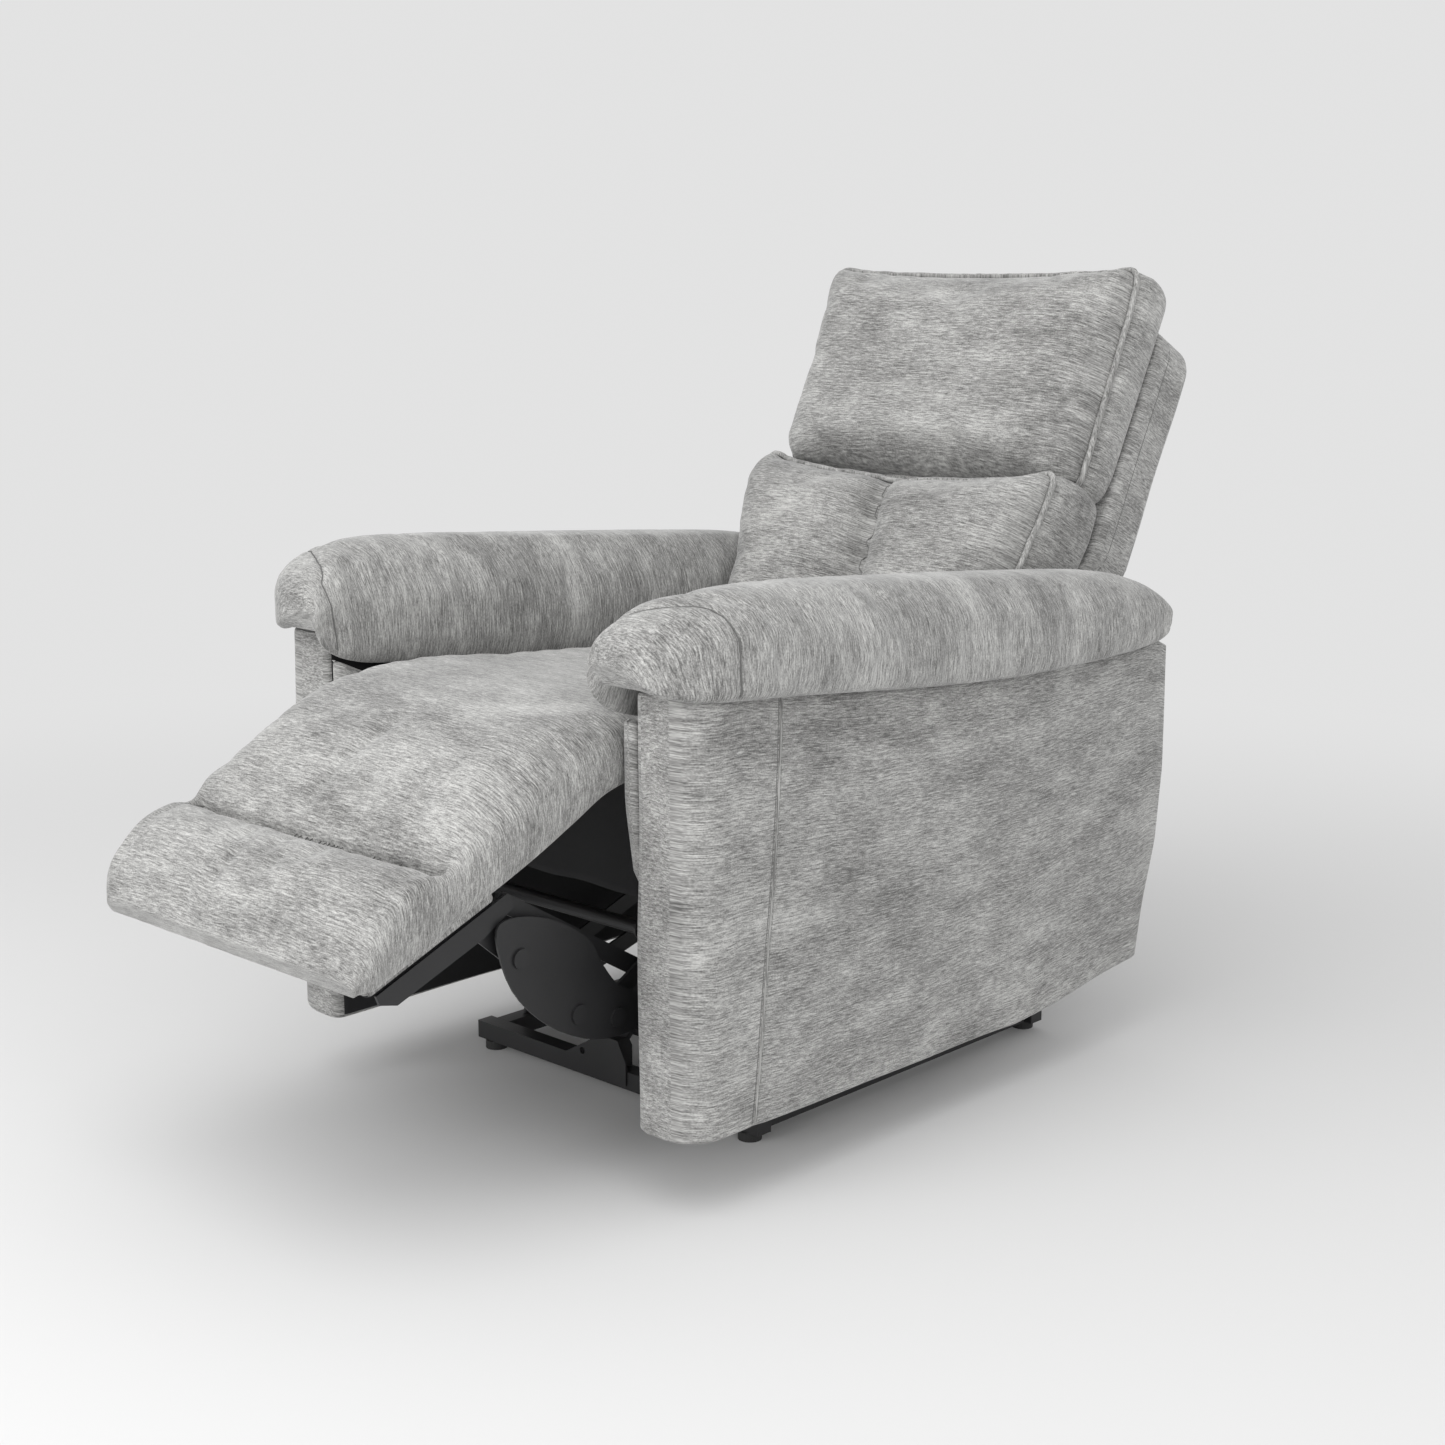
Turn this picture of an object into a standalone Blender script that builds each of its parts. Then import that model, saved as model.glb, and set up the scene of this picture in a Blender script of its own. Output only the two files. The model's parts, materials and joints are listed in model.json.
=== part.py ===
"""Lift recliner chair: steel lifting base, seat chassis, two-stage footrest linkage, reclining back.

Blender 4.5, metres, +Z up. The chair faces -Y and its left side is +X. Side profiles are given as (y, z)
from a datum under the front crossbar; at the end the whole chair is moved so that its footprint is centred
on the origin.
"""

import math

import bmesh
import bpy
from mathutils import Matrix, Vector

# ---- clearances --------------------------------------------------------------------------------------
SEAT_GAP = 0.0003          # between faces that touch on the real chair
PIN_PLAY = 0.0003          # radial play of a pin in its hole

# ---- steel base --------------------------------------------------------------------------------------
BAR = 0.025                # square section of the base bars
FOOT_HEIGHT = 0.012
FOOT_RADIUS = 0.0155
RAIL_X = 0.245             # centre of a side rail
BASE_HALF_WIDTH = 0.270
BASE_LENGTH = 0.585        # front crossbar centre to rear crossbar centre
WELD_DEPTH = 0.004         # how far a welded plate or pin reaches into what carries it
GUSSET_THICK = 0.003       # plate in front of the front crossbar
GUSSET_FROM_X = -0.085
GUSSET_TO_X = 0.034
GUSSET_BOTTOM_Z = 0.018
GUSSET_HOLE = (-0.050, 0.047)
GUSSET_HOLE_RADIUS = 0.005
CLEVIS_EAR_X = 0.0165      # middle of an ear, from the actuator's axis
CLEVIS_EAR_MARGIN = 0.0125  # metal above the clevis pin's middle

# ---- plate layers, measured along X from the middle of the chair to the inner face -------------------
LINK_THICK = 0.004
LAYER_COUPLER = 0.2145
LAYER_CRANK = 0.2215
LAYER_CHASSIS = 0.2285
LAYER_LIFT = 0.2365
LAYER_LUG = 0.2430
PIN_RADIUS = 0.005
PIN_PROUD = 0.001          # how far a pin stands out of the last plate on it
LINK_HALF_WIDTH = 0.012

# ---- lift four-bar -----------------------------------------------------------------------------------
LIFT_FRONT_FOOT = (0.080, 0.100)
LIFT_REAR_FOOT = (0.140, 0.070)
LIFT_FRONT_LENGTH = 0.360
LIFT_FRONT_ANGLE = 20.0
CHASSIS_REAR_PIVOT = (0.520, 0.180)
LIFT_OPEN_PLAY = 0.0028    # extra play at the top of the rear link, whose pivot stays open
LUG_RADIUS = 0.015
LUG_SPAN = (0.052, 0.178)  # foot of a rail's lug, along Y

# ---- footrest linkage --------------------------------------------------------------------------------
FOOTREST_PIVOT = (-0.190, 0.500)
BOARD_SLOPE = 22.0         # board plane below horizontal at rest
FOOTREST_FOLD = 66.0       # degrees that the footrest folds down from rest
KNUCKLE_REACH = 0.222      # from the footrest pivot to the first knuckle, and each crank's length
KNUCKLE_SLOPE = 30.5       # line through pivot and knuckles, below horizontal
KNUCKLE_SPACING = 0.045
COUPLER_SLOPE = 31.0
COUPLER_REACH = 0.245
CRANK_SPACING = 0.060
COUPLER_HALF_WIDTH = 0.011
CROSS_TUBE_REACH = 0.155   # along the rear crank from its pivot
CROSS_TUBE_RADIUS = 0.0095
GUARD_THICK = 0.003
GUARD_BOSS_RADIUS = 0.006
GUARD_UPPER_BOSS = (-0.352, 0.306)
GUARD_LOWER_BOSS = (-0.282, 0.252)
GUARD_OUTLINE = ((-0.402, 0.352), (-0.382, 0.370), (-0.322, 0.357), (-0.264, 0.322), (-0.240, 0.284),
                 (-0.216, 0.254), (-0.184, 0.236), (-0.168, 0.212), (-0.192, 0.191), (-0.255, 0.195),
                 (-0.325, 0.229), (-0.379, 0.284))
GUARD_CAPS = ((-0.367, 0.320), (-0.279, 0.232), (-0.217, 0.213))
GUARD_CAP_RADIUS = 0.012
GUARD_CAP_PROUD = 0.003
BOARD_THICK = 0.0235
BOARD_FROM = 0.230         # along the board from the footrest pivot
BOARD_TO = 0.425
BOARD_EDGE = 0.004
BRACKET_DROP = 0.050       # depth of a footrest bracket under the board's plane
BRACKET_SETBACK = 0.010    # of its front end behind the board's

# ---- seat --------------------------------------------------------------------------------------------
CHASSIS_TOP = 0.420
SEAT_RAIL_TOP = 0.460
SEAT_RAIL_DEPTH = 0.040
SEAT_RAIL_FRONT_Y = -0.145
SEAT_RAIL_REAR_Y = 0.300
SEAT_HALF_WIDTH = 0.254
SEAT_CUSHION_TOP = 0.579   # in the middle; the side seams lie lower
SEAT_CUSHION_SEAM = 0.560
PAD_SWELL = ((0.0, 0.0), (0.012, 0.55), (0.040, 0.90), (0.110, 1.0))   # in from the side, share of the swell
SPRING_COUNT = 3
SPRING_SPACING = 0.120
SPRING_WIRE = 0.0019
SPRING_WAVES = 6
SPRING_AMPLITUDE = 0.020
SPRING_STEPS = 8           # points along each wave
SPRING_LEAD = 0.006        # straight wire at each end of a spring
FOOTREST_PAD_SEAM = ((-0.205, 0.505), (-0.222, 0.546), (-0.258, 0.543), (-0.300, 0.528), (-0.350, 0.501),
                     (-0.400, 0.473), (-0.440, 0.455), (-0.466, 0.446), (-0.482, 0.444), (-0.508, 0.444),
                     (-0.545, 0.430), (-0.582, 0.403), (-0.604, 0.372), (-0.610, 0.350))
FOOTREST_PAD_TOP = ((-0.205, 0.505), (-0.220, 0.562), (-0.258, 0.574), (-0.304, 0.565), (-0.358, 0.541),
                    (-0.408, 0.513), (-0.444, 0.486), (-0.464, 0.462), (-0.480, 0.452), (-0.510, 0.458),
                    (-0.550, 0.443), (-0.586, 0.414), (-0.607, 0.378), (-0.612, 0.350))
FOOTREST_PAD_UNDER = ((-0.360, 0.440), (-0.290, 0.470), (-0.215, 0.500))
FOOTREST_PAD_LIP = 0.023   # how far the front roll hangs past the board's end
SKIRT_THICK = 0.006
SKIRT_HALF_WIDTH = 0.200
SKIRT_DROP = 0.115
SKIRT_BELOW_RAIL = 0.005
RAIL_ROUND = 0.002
SEAT_CUSHION_FRONT_Y = -0.185
SEAT_CUSHION_REAR_Y = 0.370
SEAT_CUSHION_CROWN = 0.020  # how far the cushion's corners lie under its top

# ---- arms --------------------------------------------------------------------------------------------
CHEEK_THICK = 0.024
CHEEK_X = 0.2605
PANEL_OUTER_X = 0.385
PANEL_FRONT_Y = -0.240
PANEL_BOTTOM_Z = 0.092
PANEL_NOSE = 0.042         # rounding of the panel's outer front edge in plan
PANEL_INNER_NOSE = 0.012
PAD_INNER_X = 0.256
PAD_OUTER_X = 0.422
PAD_ROUND = 0.026
PAD_BOTTOM = ((-0.245, 0.618), (-0.169, 0.618), (-0.062, 0.606), (0.084, 0.590), (0.250, 0.577),
              (0.506, 0.573), (0.640, 0.584))
PAD_TOP = ((0.672, 0.596), (0.684, 0.624), (0.672, 0.650), (0.640, 0.668), (0.566, 0.681), (0.428, 0.689),
           (0.138, 0.712), (0.0, 0.719), (-0.100, 0.724), (-0.170, 0.722), (-0.226, 0.712), (-0.258, 0.690),
           (-0.272, 0.660), (-0.268, 0.632))
PANEL_REAR = ((0.370, 0.087), (0.652, 0.116), (0.666, 0.124), (0.676, 0.180), (0.700, 0.277), (0.714, 0.404),
              (0.714, 0.552), (0.708, 0.566), (0.694, 0.574))
PANEL_TOP_REAR_Y = 0.640
CHEEK_BOTTOM = ((-0.200, 0.366), (0.560, 0.366), (0.600, 0.480))
CHEEK_FRONT = ((-0.237, 0.486), (-0.222, 0.400))
CHEEK_TOP_SPAN = (-0.238, 0.600)

# ---- back --------------------------------------------------------------------------------------------
BACK_PIVOT = (0.470, 0.400)
BACK_TILT = 26.5           # back's length from vertical at rest
SHELL_BOTTOM = 0.550       # along the back from the datum
SHELL_TOP = 1.262
SHELL_FRONT = 0.300        # across the back from the datum
SHELL_THICK = 0.083
SHELL_HALF_WIDTH = 0.283
SHELL_NARROW_TOP = 0.845
SHELL_FOOT_TOP = 0.620
SHELL_WIDE_FROM = 0.920
SHELL_CORNER = ((0.0, 0.040), (0.012, 0.012), (0.040, 0.0))   # inward and down from the upper corner
SHELL_EDGE = 0.010
BRACKET_TOP = 0.800
BRACKET_INSET = 0.004
BRACKET_DEPTH = 0.060      # of a back bracket behind the shell's front
BRACKET_EYE = 0.022        # half width of the bracket at its pivot
LUMBAR_HALF_WIDTH = 0.250
LUMBAR_FACE = ((0.602, 0.150), (0.640, 0.130), (0.740, 0.125), (0.880, 0.135), (0.960, 0.150), (0.984, 0.180))
LUMBAR_BOTTOM = 0.600      # along the back, where it meets the shell
HEAD_HALF_WIDTH = 0.270
HEAD_FACE = ((0.990, 0.215), (0.995, 0.190), (1.030, 0.182), (1.150, 0.184), (1.250, 0.192), (1.305, 0.208),
             (1.327, 0.232), (1.326, 0.262))
HEAD_SPAN = (0.990, 1.300)  # along the back, where it meets the shell
CUSHION_EDGE = 0.012
RECLINE_FOOT_THICK = 0.003  # plate under the shell that the recline lug stands on
RECLINE_FOOT_DEPTH = 0.040
RECLINE_FOOT_WIDTH = 0.050
RECLINE_FOOT_INSET = 0.004
RECLINE_EAR_X = 0.0105     # middle of an ear, from the actuator's axis
RECLINE_EAR_RADIUS = 0.011

# ---- actuators ---------------------------------------------------------------------------------------
LIFT_ACTUATOR_PIVOT = (0.000, 0.065)
DRIVE_SHAFT = (0.270, 0.300)
DRIVE_SHAFT_RADIUS = 0.011
LIFT_EYE_PLAY = 0.0053
RECLINE_LUG = (0.500, 0.330)
RECLINE_EYE_PLAY = 0.0024
RECLINE_ACTUATOR_X = -0.110
FOOTREST_ACTUATOR_X = 0.110
DRIVE_ARM = 0.090          # from the rear crank's pivot to the drive pin
DRIVE_ARM_ANGLE = -112.0
DRIVE_ARM_ROOT = 0.014     # radius of the drive arm round the cross tube
DRIVE_ARM_TIP = 0.0065
DRIVE_ARM_GAP = 0.0005     # between the arm and the yoke beside it
DRIVE_PIN_RADIUS = 0.004
YOKE_PLAY = 0.0042
YOKE_THICK = 0.006
YOKE_EXTRA = 0.0008        # slot length past the drive pin's travel
YOKE_RIM = 0.006
GEARBOX = 0.038            # width and height of a gearbox
EYE_HALF_WIDTH = 0.013     # of the eye at a housing's pivot
EYE_RIM = 0.006
ROD_EYE_HALF_WIDTH = 0.006
BORE_PLAY = 0.001          # radial play of a rod in its housing
ROD_END_ROOM = {"lift": 0.006, "recline": 0.046}
SWING_MOTOR_LENGTH = 0.075
FOOTREST_MOTOR_LENGTH = 0.110
FOOTREST_BLOCK_LENGTH = 0.066
FOOTREST_TUBE_FRONT_Y = 0.158
FOOTREST_BORE_LENGTH = 0.168
FOOTREST_ROD_LENGTH = 0.158
LIFT_GEARBOX_SPAN = (0.028, 0.070)      # along an actuator from its pivot
LIFT_TUBE_END = 0.270
RECLINE_GEARBOX_SPAN = (0.030, 0.060)
RECLINE_TUBE_END = 0.162
TUBE_RADIUS = 0.014
ROD_RADIUS = 0.0075
MOTOR_RADIUS = 0.019

# ---- control box and handset -------------------------------------------------------------------------
CONTROL_SIZE = (0.090, 0.060, 0.032)
CONTROL_X = 0.030
INLET_X = 0.050
INLET_RADIUS = 0.006
INLET_BORE = 0.0035
INLET_LENGTH = 0.014
INLET_DEPTH = 0.010
HANDSET_Y = 0.100
HANDSET_SIZE = (0.020, 0.050, 0.170)
HANDSET_BOTTOM_Z = 0.3835
POCKET_WALL = 0.003
POCKET_BOTTOM_Z = 0.380
POCKET_BELOW_KEYS = 0.0025  # from the lowest key down to the pocket's rim
POCKET_ROOM = 0.004
ROCKER_SIZE = (0.006, 0.026, 0.016)
ROCKER_PITCH = 0.021
ROCKER_COUNT = 3
ROCKER_TOP_MARGIN = 0.016
ROCKER_PLAY = 0.0003
ROCKER_POCKET_DEPTH = 0.005
ROCKER_SWING_ROOM = 0.001
HANDSET_EDGE = 0.004
ROCKER_EDGE = 0.001

HOLE_SIDES = 12
ROUND_SIDES = 20
WELD_DISTANCE = 1e-6       # vertices nearer than this are one
CUT_THROUGH = 0.1          # length of a cutter that goes right through a piece
CUT_PAST = 0.004           # how far a blind bore's cutter stands out of its mouth

TURN_TO_X = Matrix(((0, 0, 1, 0), (1, 0, 0, 0), (0, 1, 0, 0), (0, 0, 0, 1)))   # (u, v, w) -> (y, z, x)
TURN_TO_Y = Matrix(((1, 0, 0, 0), (0, 0, -1, 0), (0, 1, 0, 0), (0, 0, 0, 1)))  # (u, v, w) -> (x, z, -y)


# ---- scene, materials and objects --------------------------------------------------------------------
def clear_scene():
    for obj in list(bpy.data.objects):
        bpy.data.objects.remove(obj, do_unlink=True)


def new_collection(name):
    collection = bpy.data.collections.new(name)
    bpy.context.scene.collection.children.link(collection)
    return collection


clear_scene()
PARTS = new_collection("lift_recliner_chair")
CUTTERS = new_collection("cutters")


def finish(name, colour, roughness, metallic=0.0):
    material = bpy.data.materials.new(name)
    material.use_nodes = True
    shader = material.node_tree.nodes["Principled BSDF"]
    shader.inputs["Base Color"].default_value = (*colour, 1.0)
    shader.inputs["Roughness"].default_value = roughness
    shader.inputs["Metallic"].default_value = metallic
    return material


UPHOLSTERY = finish("upholstery", (0.36, 0.36, 0.35), 0.9)
BLACK_STEEL = finish("black_steel", (0.018, 0.018, 0.019), 0.45, 0.6)
BARE_STEEL = finish("bare_steel", (0.52, 0.52, 0.50), 0.35, 1.0)
CAMBRIC = finish("cambric", (0.012, 0.012, 0.013), 0.95)
TIMBER = finish("timber", (0.46, 0.31, 0.17), 0.7)
BLACK_PLASTIC = finish("black_plastic", (0.02, 0.02, 0.022), 0.5)
GREY_PLASTIC = finish("grey_plastic", (0.22, 0.22, 0.23), 0.5)
RUBBER = finish("rubber", (0.03, 0.03, 0.03), 0.8)

ROOT = bpy.data.objects.new("chair_datum", None)
PARTS.objects.link(ROOT)
BODIES = {}


def add_body(name, at=(0.0, 0.0, 0.0)):
    """An empty on the body's joint axis, which its pieces are parented to."""
    empty = bpy.data.objects.new("axis_" + name, None)
    empty.empty_display_size = 0.03
    PARTS.objects.link(empty)
    empty.parent = ROOT
    empty.location = at
    BODIES[name] = empty


def add_part(name, mesh, body, material, at=(0.0, 0.0, 0.0), turn=0.0):
    """A named solid, placed at a point of the chair and turned about X."""
    obj = bpy.data.objects.new(name, mesh)
    PARTS.objects.link(obj)
    obj.parent = BODIES[body]
    obj.location = Vector(at) - BODIES[body].location
    obj.rotation_euler = (turn, 0.0, 0.0)
    mesh.materials.clear()
    mesh.materials.append(material)
    mesh.shade_smooth()
    mesh.set_sharp_from_angle(angle=math.radians(35))
    return obj


def boolean(obj, operation, mesh, at=(0.0, 0.0, 0.0), turn=0.0):
    """Joins a shape to a part or cuts it away; the shape stays as a hidden helper."""
    helper = bpy.data.objects.new(f"{obj.name}_{operation.lower()}", mesh)
    CUTTERS.objects.link(helper)
    helper.parent = ROOT
    helper.location = at
    helper.rotation_euler = (turn, 0.0, 0.0)
    helper.hide_render = True
    helper.display_type = "WIRE"
    modifier = obj.modifiers.new(operation.lower(), "BOOLEAN")
    modifier.operation = operation
    modifier.object = helper


def join(obj, mesh, at=(0.0, 0.0, 0.0), turn=0.0):
    boolean(obj, "UNION", mesh, at, turn)


def cut(obj, mesh, at=(0.0, 0.0, 0.0), turn=0.0):
    boolean(obj, "DIFFERENCE", mesh, at, turn)


def soften(obj, width, segments=2):
    bevel = obj.modifiers.new("edges", "BEVEL")
    bevel.width = width
    bevel.segments = segments
    bevel.limit_method = "ANGLE"
    bevel.angle_limit = math.radians(40)


# ---- shapes ------------------------------------------------------------------------------------------
def mesh_from(build):
    """A mesh made by a function that fills a bmesh."""
    form = bmesh.new()
    build(form)
    mesh = bpy.data.meshes.new("shape")
    form.to_mesh(mesh)
    form.free()
    return mesh


def box(x_size, y_size, z_size):
    size = Matrix.Diagonal((x_size, y_size, z_size, 1.0))
    return mesh_from(lambda form: bmesh.ops.create_cube(form, size=1.0, matrix=size))


def cylinder(radius, length, turn=Matrix(), sides=ROUND_SIDES, top_radius=None):
    top = radius if top_radius is None else top_radius
    return mesh_from(lambda form: bmesh.ops.create_cone(
        form, cap_ends=True, segments=sides, radius1=radius, radius2=top, depth=length, matrix=turn))


def across(radius, length, sides=ROUND_SIDES):
    """A cylinder along X."""
    return cylinder(radius, length, Matrix.Rotation(math.pi / 2, 4, "Y"), sides)


def arc_points(centre, radius, sides=HOLE_SIDES):
    step = 2 * math.pi / sides
    return [(centre[0] + radius * math.cos(step * (i + 0.5)),
             centre[1] + radius * math.sin(step * (i + 0.5))) for i in range(sides)]


def bore_radius(pin_radius, play, sides=HOLE_SIDES):
    """Corner radius of a many-sided hole whose flats clear the pin by the play."""
    return (pin_radius + play) / math.cos(math.pi / sides)


def hole(centre, pin_radius=PIN_RADIUS, play=PIN_PLAY, sides=HOLE_SIDES):
    return arc_points(centre, bore_radius(pin_radius, play, sides), sides)


def hull(discs):
    """Convex outline round discs given as (point, radius)."""
    points = sorted({p for centre, radius in discs for p in (
        arc_points(centre, radius, 16) if radius else [tuple(centre)])})

    def half(row):
        edge = []
        for p in row:
            while len(edge) > 1 and turn_of(edge[-2], edge[-1], p) <= 0:
                edge.pop()
            edge.append(p)
        return edge[:-1]

    return half(points) + half(points[::-1])


def turn_of(a, b, c):
    return (b[0] - a[0]) * (c[1] - a[1]) - (b[1] - a[1]) * (c[0] - a[0])


def smooth_loop(points, steps=4):
    """A closed outline that runs smoothly through the points."""
    count = len(points)
    outline = []
    for i in range(count):
        before, start, end, after = (Vector(points[(i + k) % count]) for k in (-1, 0, 1, 2))
        for step in range(steps):
            t = step / steps
            outline.append(tuple(0.5 * (2 * start + (end - before) * t
                                        + (2 * before - 5 * start + 4 * end - after) * t ** 2
                                        + (3 * start - before - 3 * end + after) * t ** 3)))
    return outline


def plate(outlines, thickness, turn=TURN_TO_X, rounding=0.0, rounding_steps=1):
    """A flat plate: the first outline is its edge, the others are holes. Its middle plane is at zero."""
    curve = bpy.data.curves.new("outline", "CURVE")
    curve.dimensions = "2D"
    curve.fill_mode = "BOTH"
    curve.extrude = thickness / 2 - rounding
    curve.bevel_depth = rounding
    curve.offset = -rounding
    curve.bevel_resolution = rounding_steps
    for outline in outlines:
        spline = curve.splines.new("POLY")
        spline.points.add(len(outline) - 1)
        for point, (u, v) in zip(spline.points, outline):
            point.co = (u, v, 0.0, 1.0)
        spline.use_cyclic_u = True
    return solid_of(curve, turn)


def solid_of(curve, turn=Matrix()):
    """The closed mesh of a curve, with its caps welded on."""
    guide = bpy.data.objects.new("guide", curve)
    CUTTERS.objects.link(guide)
    bpy.context.view_layer.update()
    graph = bpy.context.evaluated_depsgraph_get()
    mesh = bpy.data.meshes.new_from_object(guide.evaluated_get(graph))
    bpy.data.objects.remove(guide, do_unlink=True)
    form = bmesh.new()
    form.from_mesh(mesh)
    bmesh.ops.remove_doubles(form, verts=form.verts, dist=WELD_DISTANCE)
    bmesh.ops.transform(form, matrix=turn, verts=form.verts)
    bmesh.ops.recalc_face_normals(form, faces=form.faces)
    form.to_mesh(mesh)
    form.free()
    return mesh


def bevel_edges(mesh, chosen, width, segments):
    """Rounds the edges whose two ends both pass the test."""
    form = bmesh.new()
    form.from_mesh(mesh)
    edges = [e for e in form.edges if all(chosen(v.co) for v in e.verts)]
    bmesh.ops.bevel(form, geom=edges, offset=width, segments=segments, profile=0.5, affect="EDGES")
    form.to_mesh(mesh)
    form.free()


def wire_tube(points, radius):
    """A solid wire along the points, as a mesh."""
    curve = bpy.data.curves.new("wire", "CURVE")
    curve.dimensions = "3D"
    curve.bevel_depth = radius
    curve.bevel_resolution = 1
    curve.use_fill_caps = True
    spline = curve.splines.new("POLY")
    spline.points.add(len(points) - 1)
    for point, co in zip(spline.points, points):
        point.co = (*co, 1.0)
    return solid_of(curve)


def direction(degrees):
    return Vector((math.cos(math.radians(degrees)), math.sin(math.radians(degrees))))


def side_name(side):
    return "left" if side > 0 else "right"


def layer_middle(layer, side):
    return side * (layer + LINK_THICK / 2)


def pin_between(obj, side, point, x_from, x_to, radius=PIN_RADIUS, sides=HOLE_SIDES):
    """Joins a pin along X to a plate, between two distances from the middle of the chair."""
    join(obj, across(radius, x_to - x_from, sides), (side * (x_from + x_to) / 2, *point))


# ---- pivots worked out from the driving sizes --------------------------------------------------------
LIFT_FRONT_TOP = tuple(Vector(LIFT_FRONT_FOOT) + LIFT_FRONT_LENGTH * direction(LIFT_FRONT_ANGLE))
CRANK_DIRECTION = direction(180 + KNUCKLE_SLOPE)
COUPLER_DIRECTION = direction(180 - COUPLER_SLOPE)
FRONT_CRANK_PIVOT = Vector(FOOTREST_PIVOT) - COUPLER_REACH * COUPLER_DIRECTION
REAR_CRANK_PIVOT = FRONT_CRANK_PIVOT - CRANK_SPACING * COUPLER_DIRECTION
FIRST_KNUCKLE = Vector(FOOTREST_PIVOT) + KNUCKLE_REACH * CRANK_DIRECTION
SECOND_KNUCKLE = FIRST_KNUCKLE + KNUCKLE_SPACING * CRANK_DIRECTION
FRONT_CRANK_JOINT = FRONT_CRANK_PIVOT + KNUCKLE_REACH * CRANK_DIRECTION
FRONT_CRANK_END = FRONT_CRANK_JOINT + KNUCKLE_SPACING * CRANK_DIRECTION
REAR_CRANK_END = REAR_CRANK_PIVOT + KNUCKLE_REACH * CRANK_DIRECTION
CROSS_TUBE = REAR_CRANK_PIVOT + CROSS_TUBE_REACH * CRANK_DIRECTION
DRIVE_PIN = REAR_CRANK_PIVOT + DRIVE_ARM * direction(DRIVE_ARM_ANGLE)
DRIVE_PIN_HIGH = REAR_CRANK_PIVOT.y + DRIVE_ARM * direction(DRIVE_ARM_ANGLE + FOOTREST_FOLD).y
DRIVE_PIN_LOW = REAR_CRANK_PIVOT.y - DRIVE_ARM

ALONG_BOARD = direction(180 + BOARD_SLOPE)
UNDER_BOARD = direction(270 + BOARD_SLOPE)
ALONG_BACK = direction(90 - BACK_TILT)
ACROSS_BACK = direction(-BACK_TILT)
SECOND_KNUCKLE_ALONG = (SECOND_KNUCKLE - Vector(FOOTREST_PIVOT)).dot(ALONG_BOARD)


def on_board(along, under):
    """A point of the footrest, along the board from its pivot and below the board's plane."""
    return tuple(Vector(FOOTREST_PIVOT) + along * ALONG_BOARD + under * UNDER_BOARD)


def on_back(along, across_it):
    """A point of the back, along it and across it from the datum."""
    return tuple(along * ALONG_BACK + across_it * ACROSS_BACK)


def at_side(point):
    return (0.0, point[0], point[1])


def make_bodies():
    add_body("base")
    add_body("front_lift_link", at_side(LIFT_FRONT_FOOT))
    add_body("rear_lift_link", at_side(LIFT_REAR_FOOT))
    add_body("chassis", at_side(LIFT_FRONT_TOP))
    add_body("back", at_side(BACK_PIVOT))
    add_body("footrest", at_side(FOOTREST_PIVOT))
    add_body("rear_crank", at_side(REAR_CRANK_PIVOT))
    add_body("front_crank", at_side(FRONT_CRANK_PIVOT))
    add_body("inner_coupler", at_side(FRONT_CRANK_JOINT))
    add_body("outer_coupler", at_side(FRONT_CRANK_END))
    add_body("lift_housing", at_side(LIFT_ACTUATOR_PIVOT))
    add_body("lift_rod", at_side(LIFT_ACTUATOR_PIVOT))
    add_body("recline_housing", (RECLINE_ACTUATOR_X, *DRIVE_SHAFT))
    add_body("recline_rod", (RECLINE_ACTUATOR_X, *DRIVE_SHAFT))
    add_body("footrest_rod", (FOOTREST_ACTUATOR_X, *DRIVE_PIN))
    for i in range(ROCKER_COUNT):
        add_body(f"rocker_{i + 1}", rocker_centre(i))


# ---- base --------------------------------------------------------------------------------------------
def make_base():
    middle_z = FOOT_HEIGHT + BAR / 2
    for name, y in (("front", 0.0), ("rear", BASE_LENGTH)):
        bar = add_part(f"base_{name}_crossbar", box(2 * BASE_HALF_WIDTH, BAR, BAR), "base", BLACK_STEEL,
                       (0, y, middle_z))
        if name == "front":
            weld_actuator_clevis(bar)
        for side in (1, -1):
            add_part(f"foot_{name}_{side_name(side)}", cylinder(FOOT_RADIUS, FOOT_HEIGHT - SEAT_GAP), "base",
                     RUBBER, (side * RAIL_X, y, (FOOT_HEIGHT - SEAT_GAP) / 2))
    for side in (1, -1):
        rail_length = BASE_LENGTH - BAR - 2 * SEAT_GAP
        rail = add_part(f"base_rail_{side_name(side)}", box(BAR, rail_length, BAR), "base", BLACK_STEEL,
                        (side * RAIL_X, BASE_LENGTH / 2, middle_z))
        rail_top = FOOT_HEIGHT + BAR
        lug = hull([(LIFT_FRONT_FOOT, LUG_RADIUS), (LIFT_REAR_FOOT, LUG_RADIUS),
                    *(((y, rail_top - WELD_DEPTH), 0) for y in LUG_SPAN)])
        join(rail, plate([lug], LINK_THICK), (layer_middle(LAYER_LUG, side), 0, 0))
        for pivot in (LIFT_FRONT_FOOT, LIFT_REAR_FOOT):
            pin_between(rail, side, pivot, LAYER_LIFT - PIN_PROUD, LAYER_LUG + LINK_THICK / 2)


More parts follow.
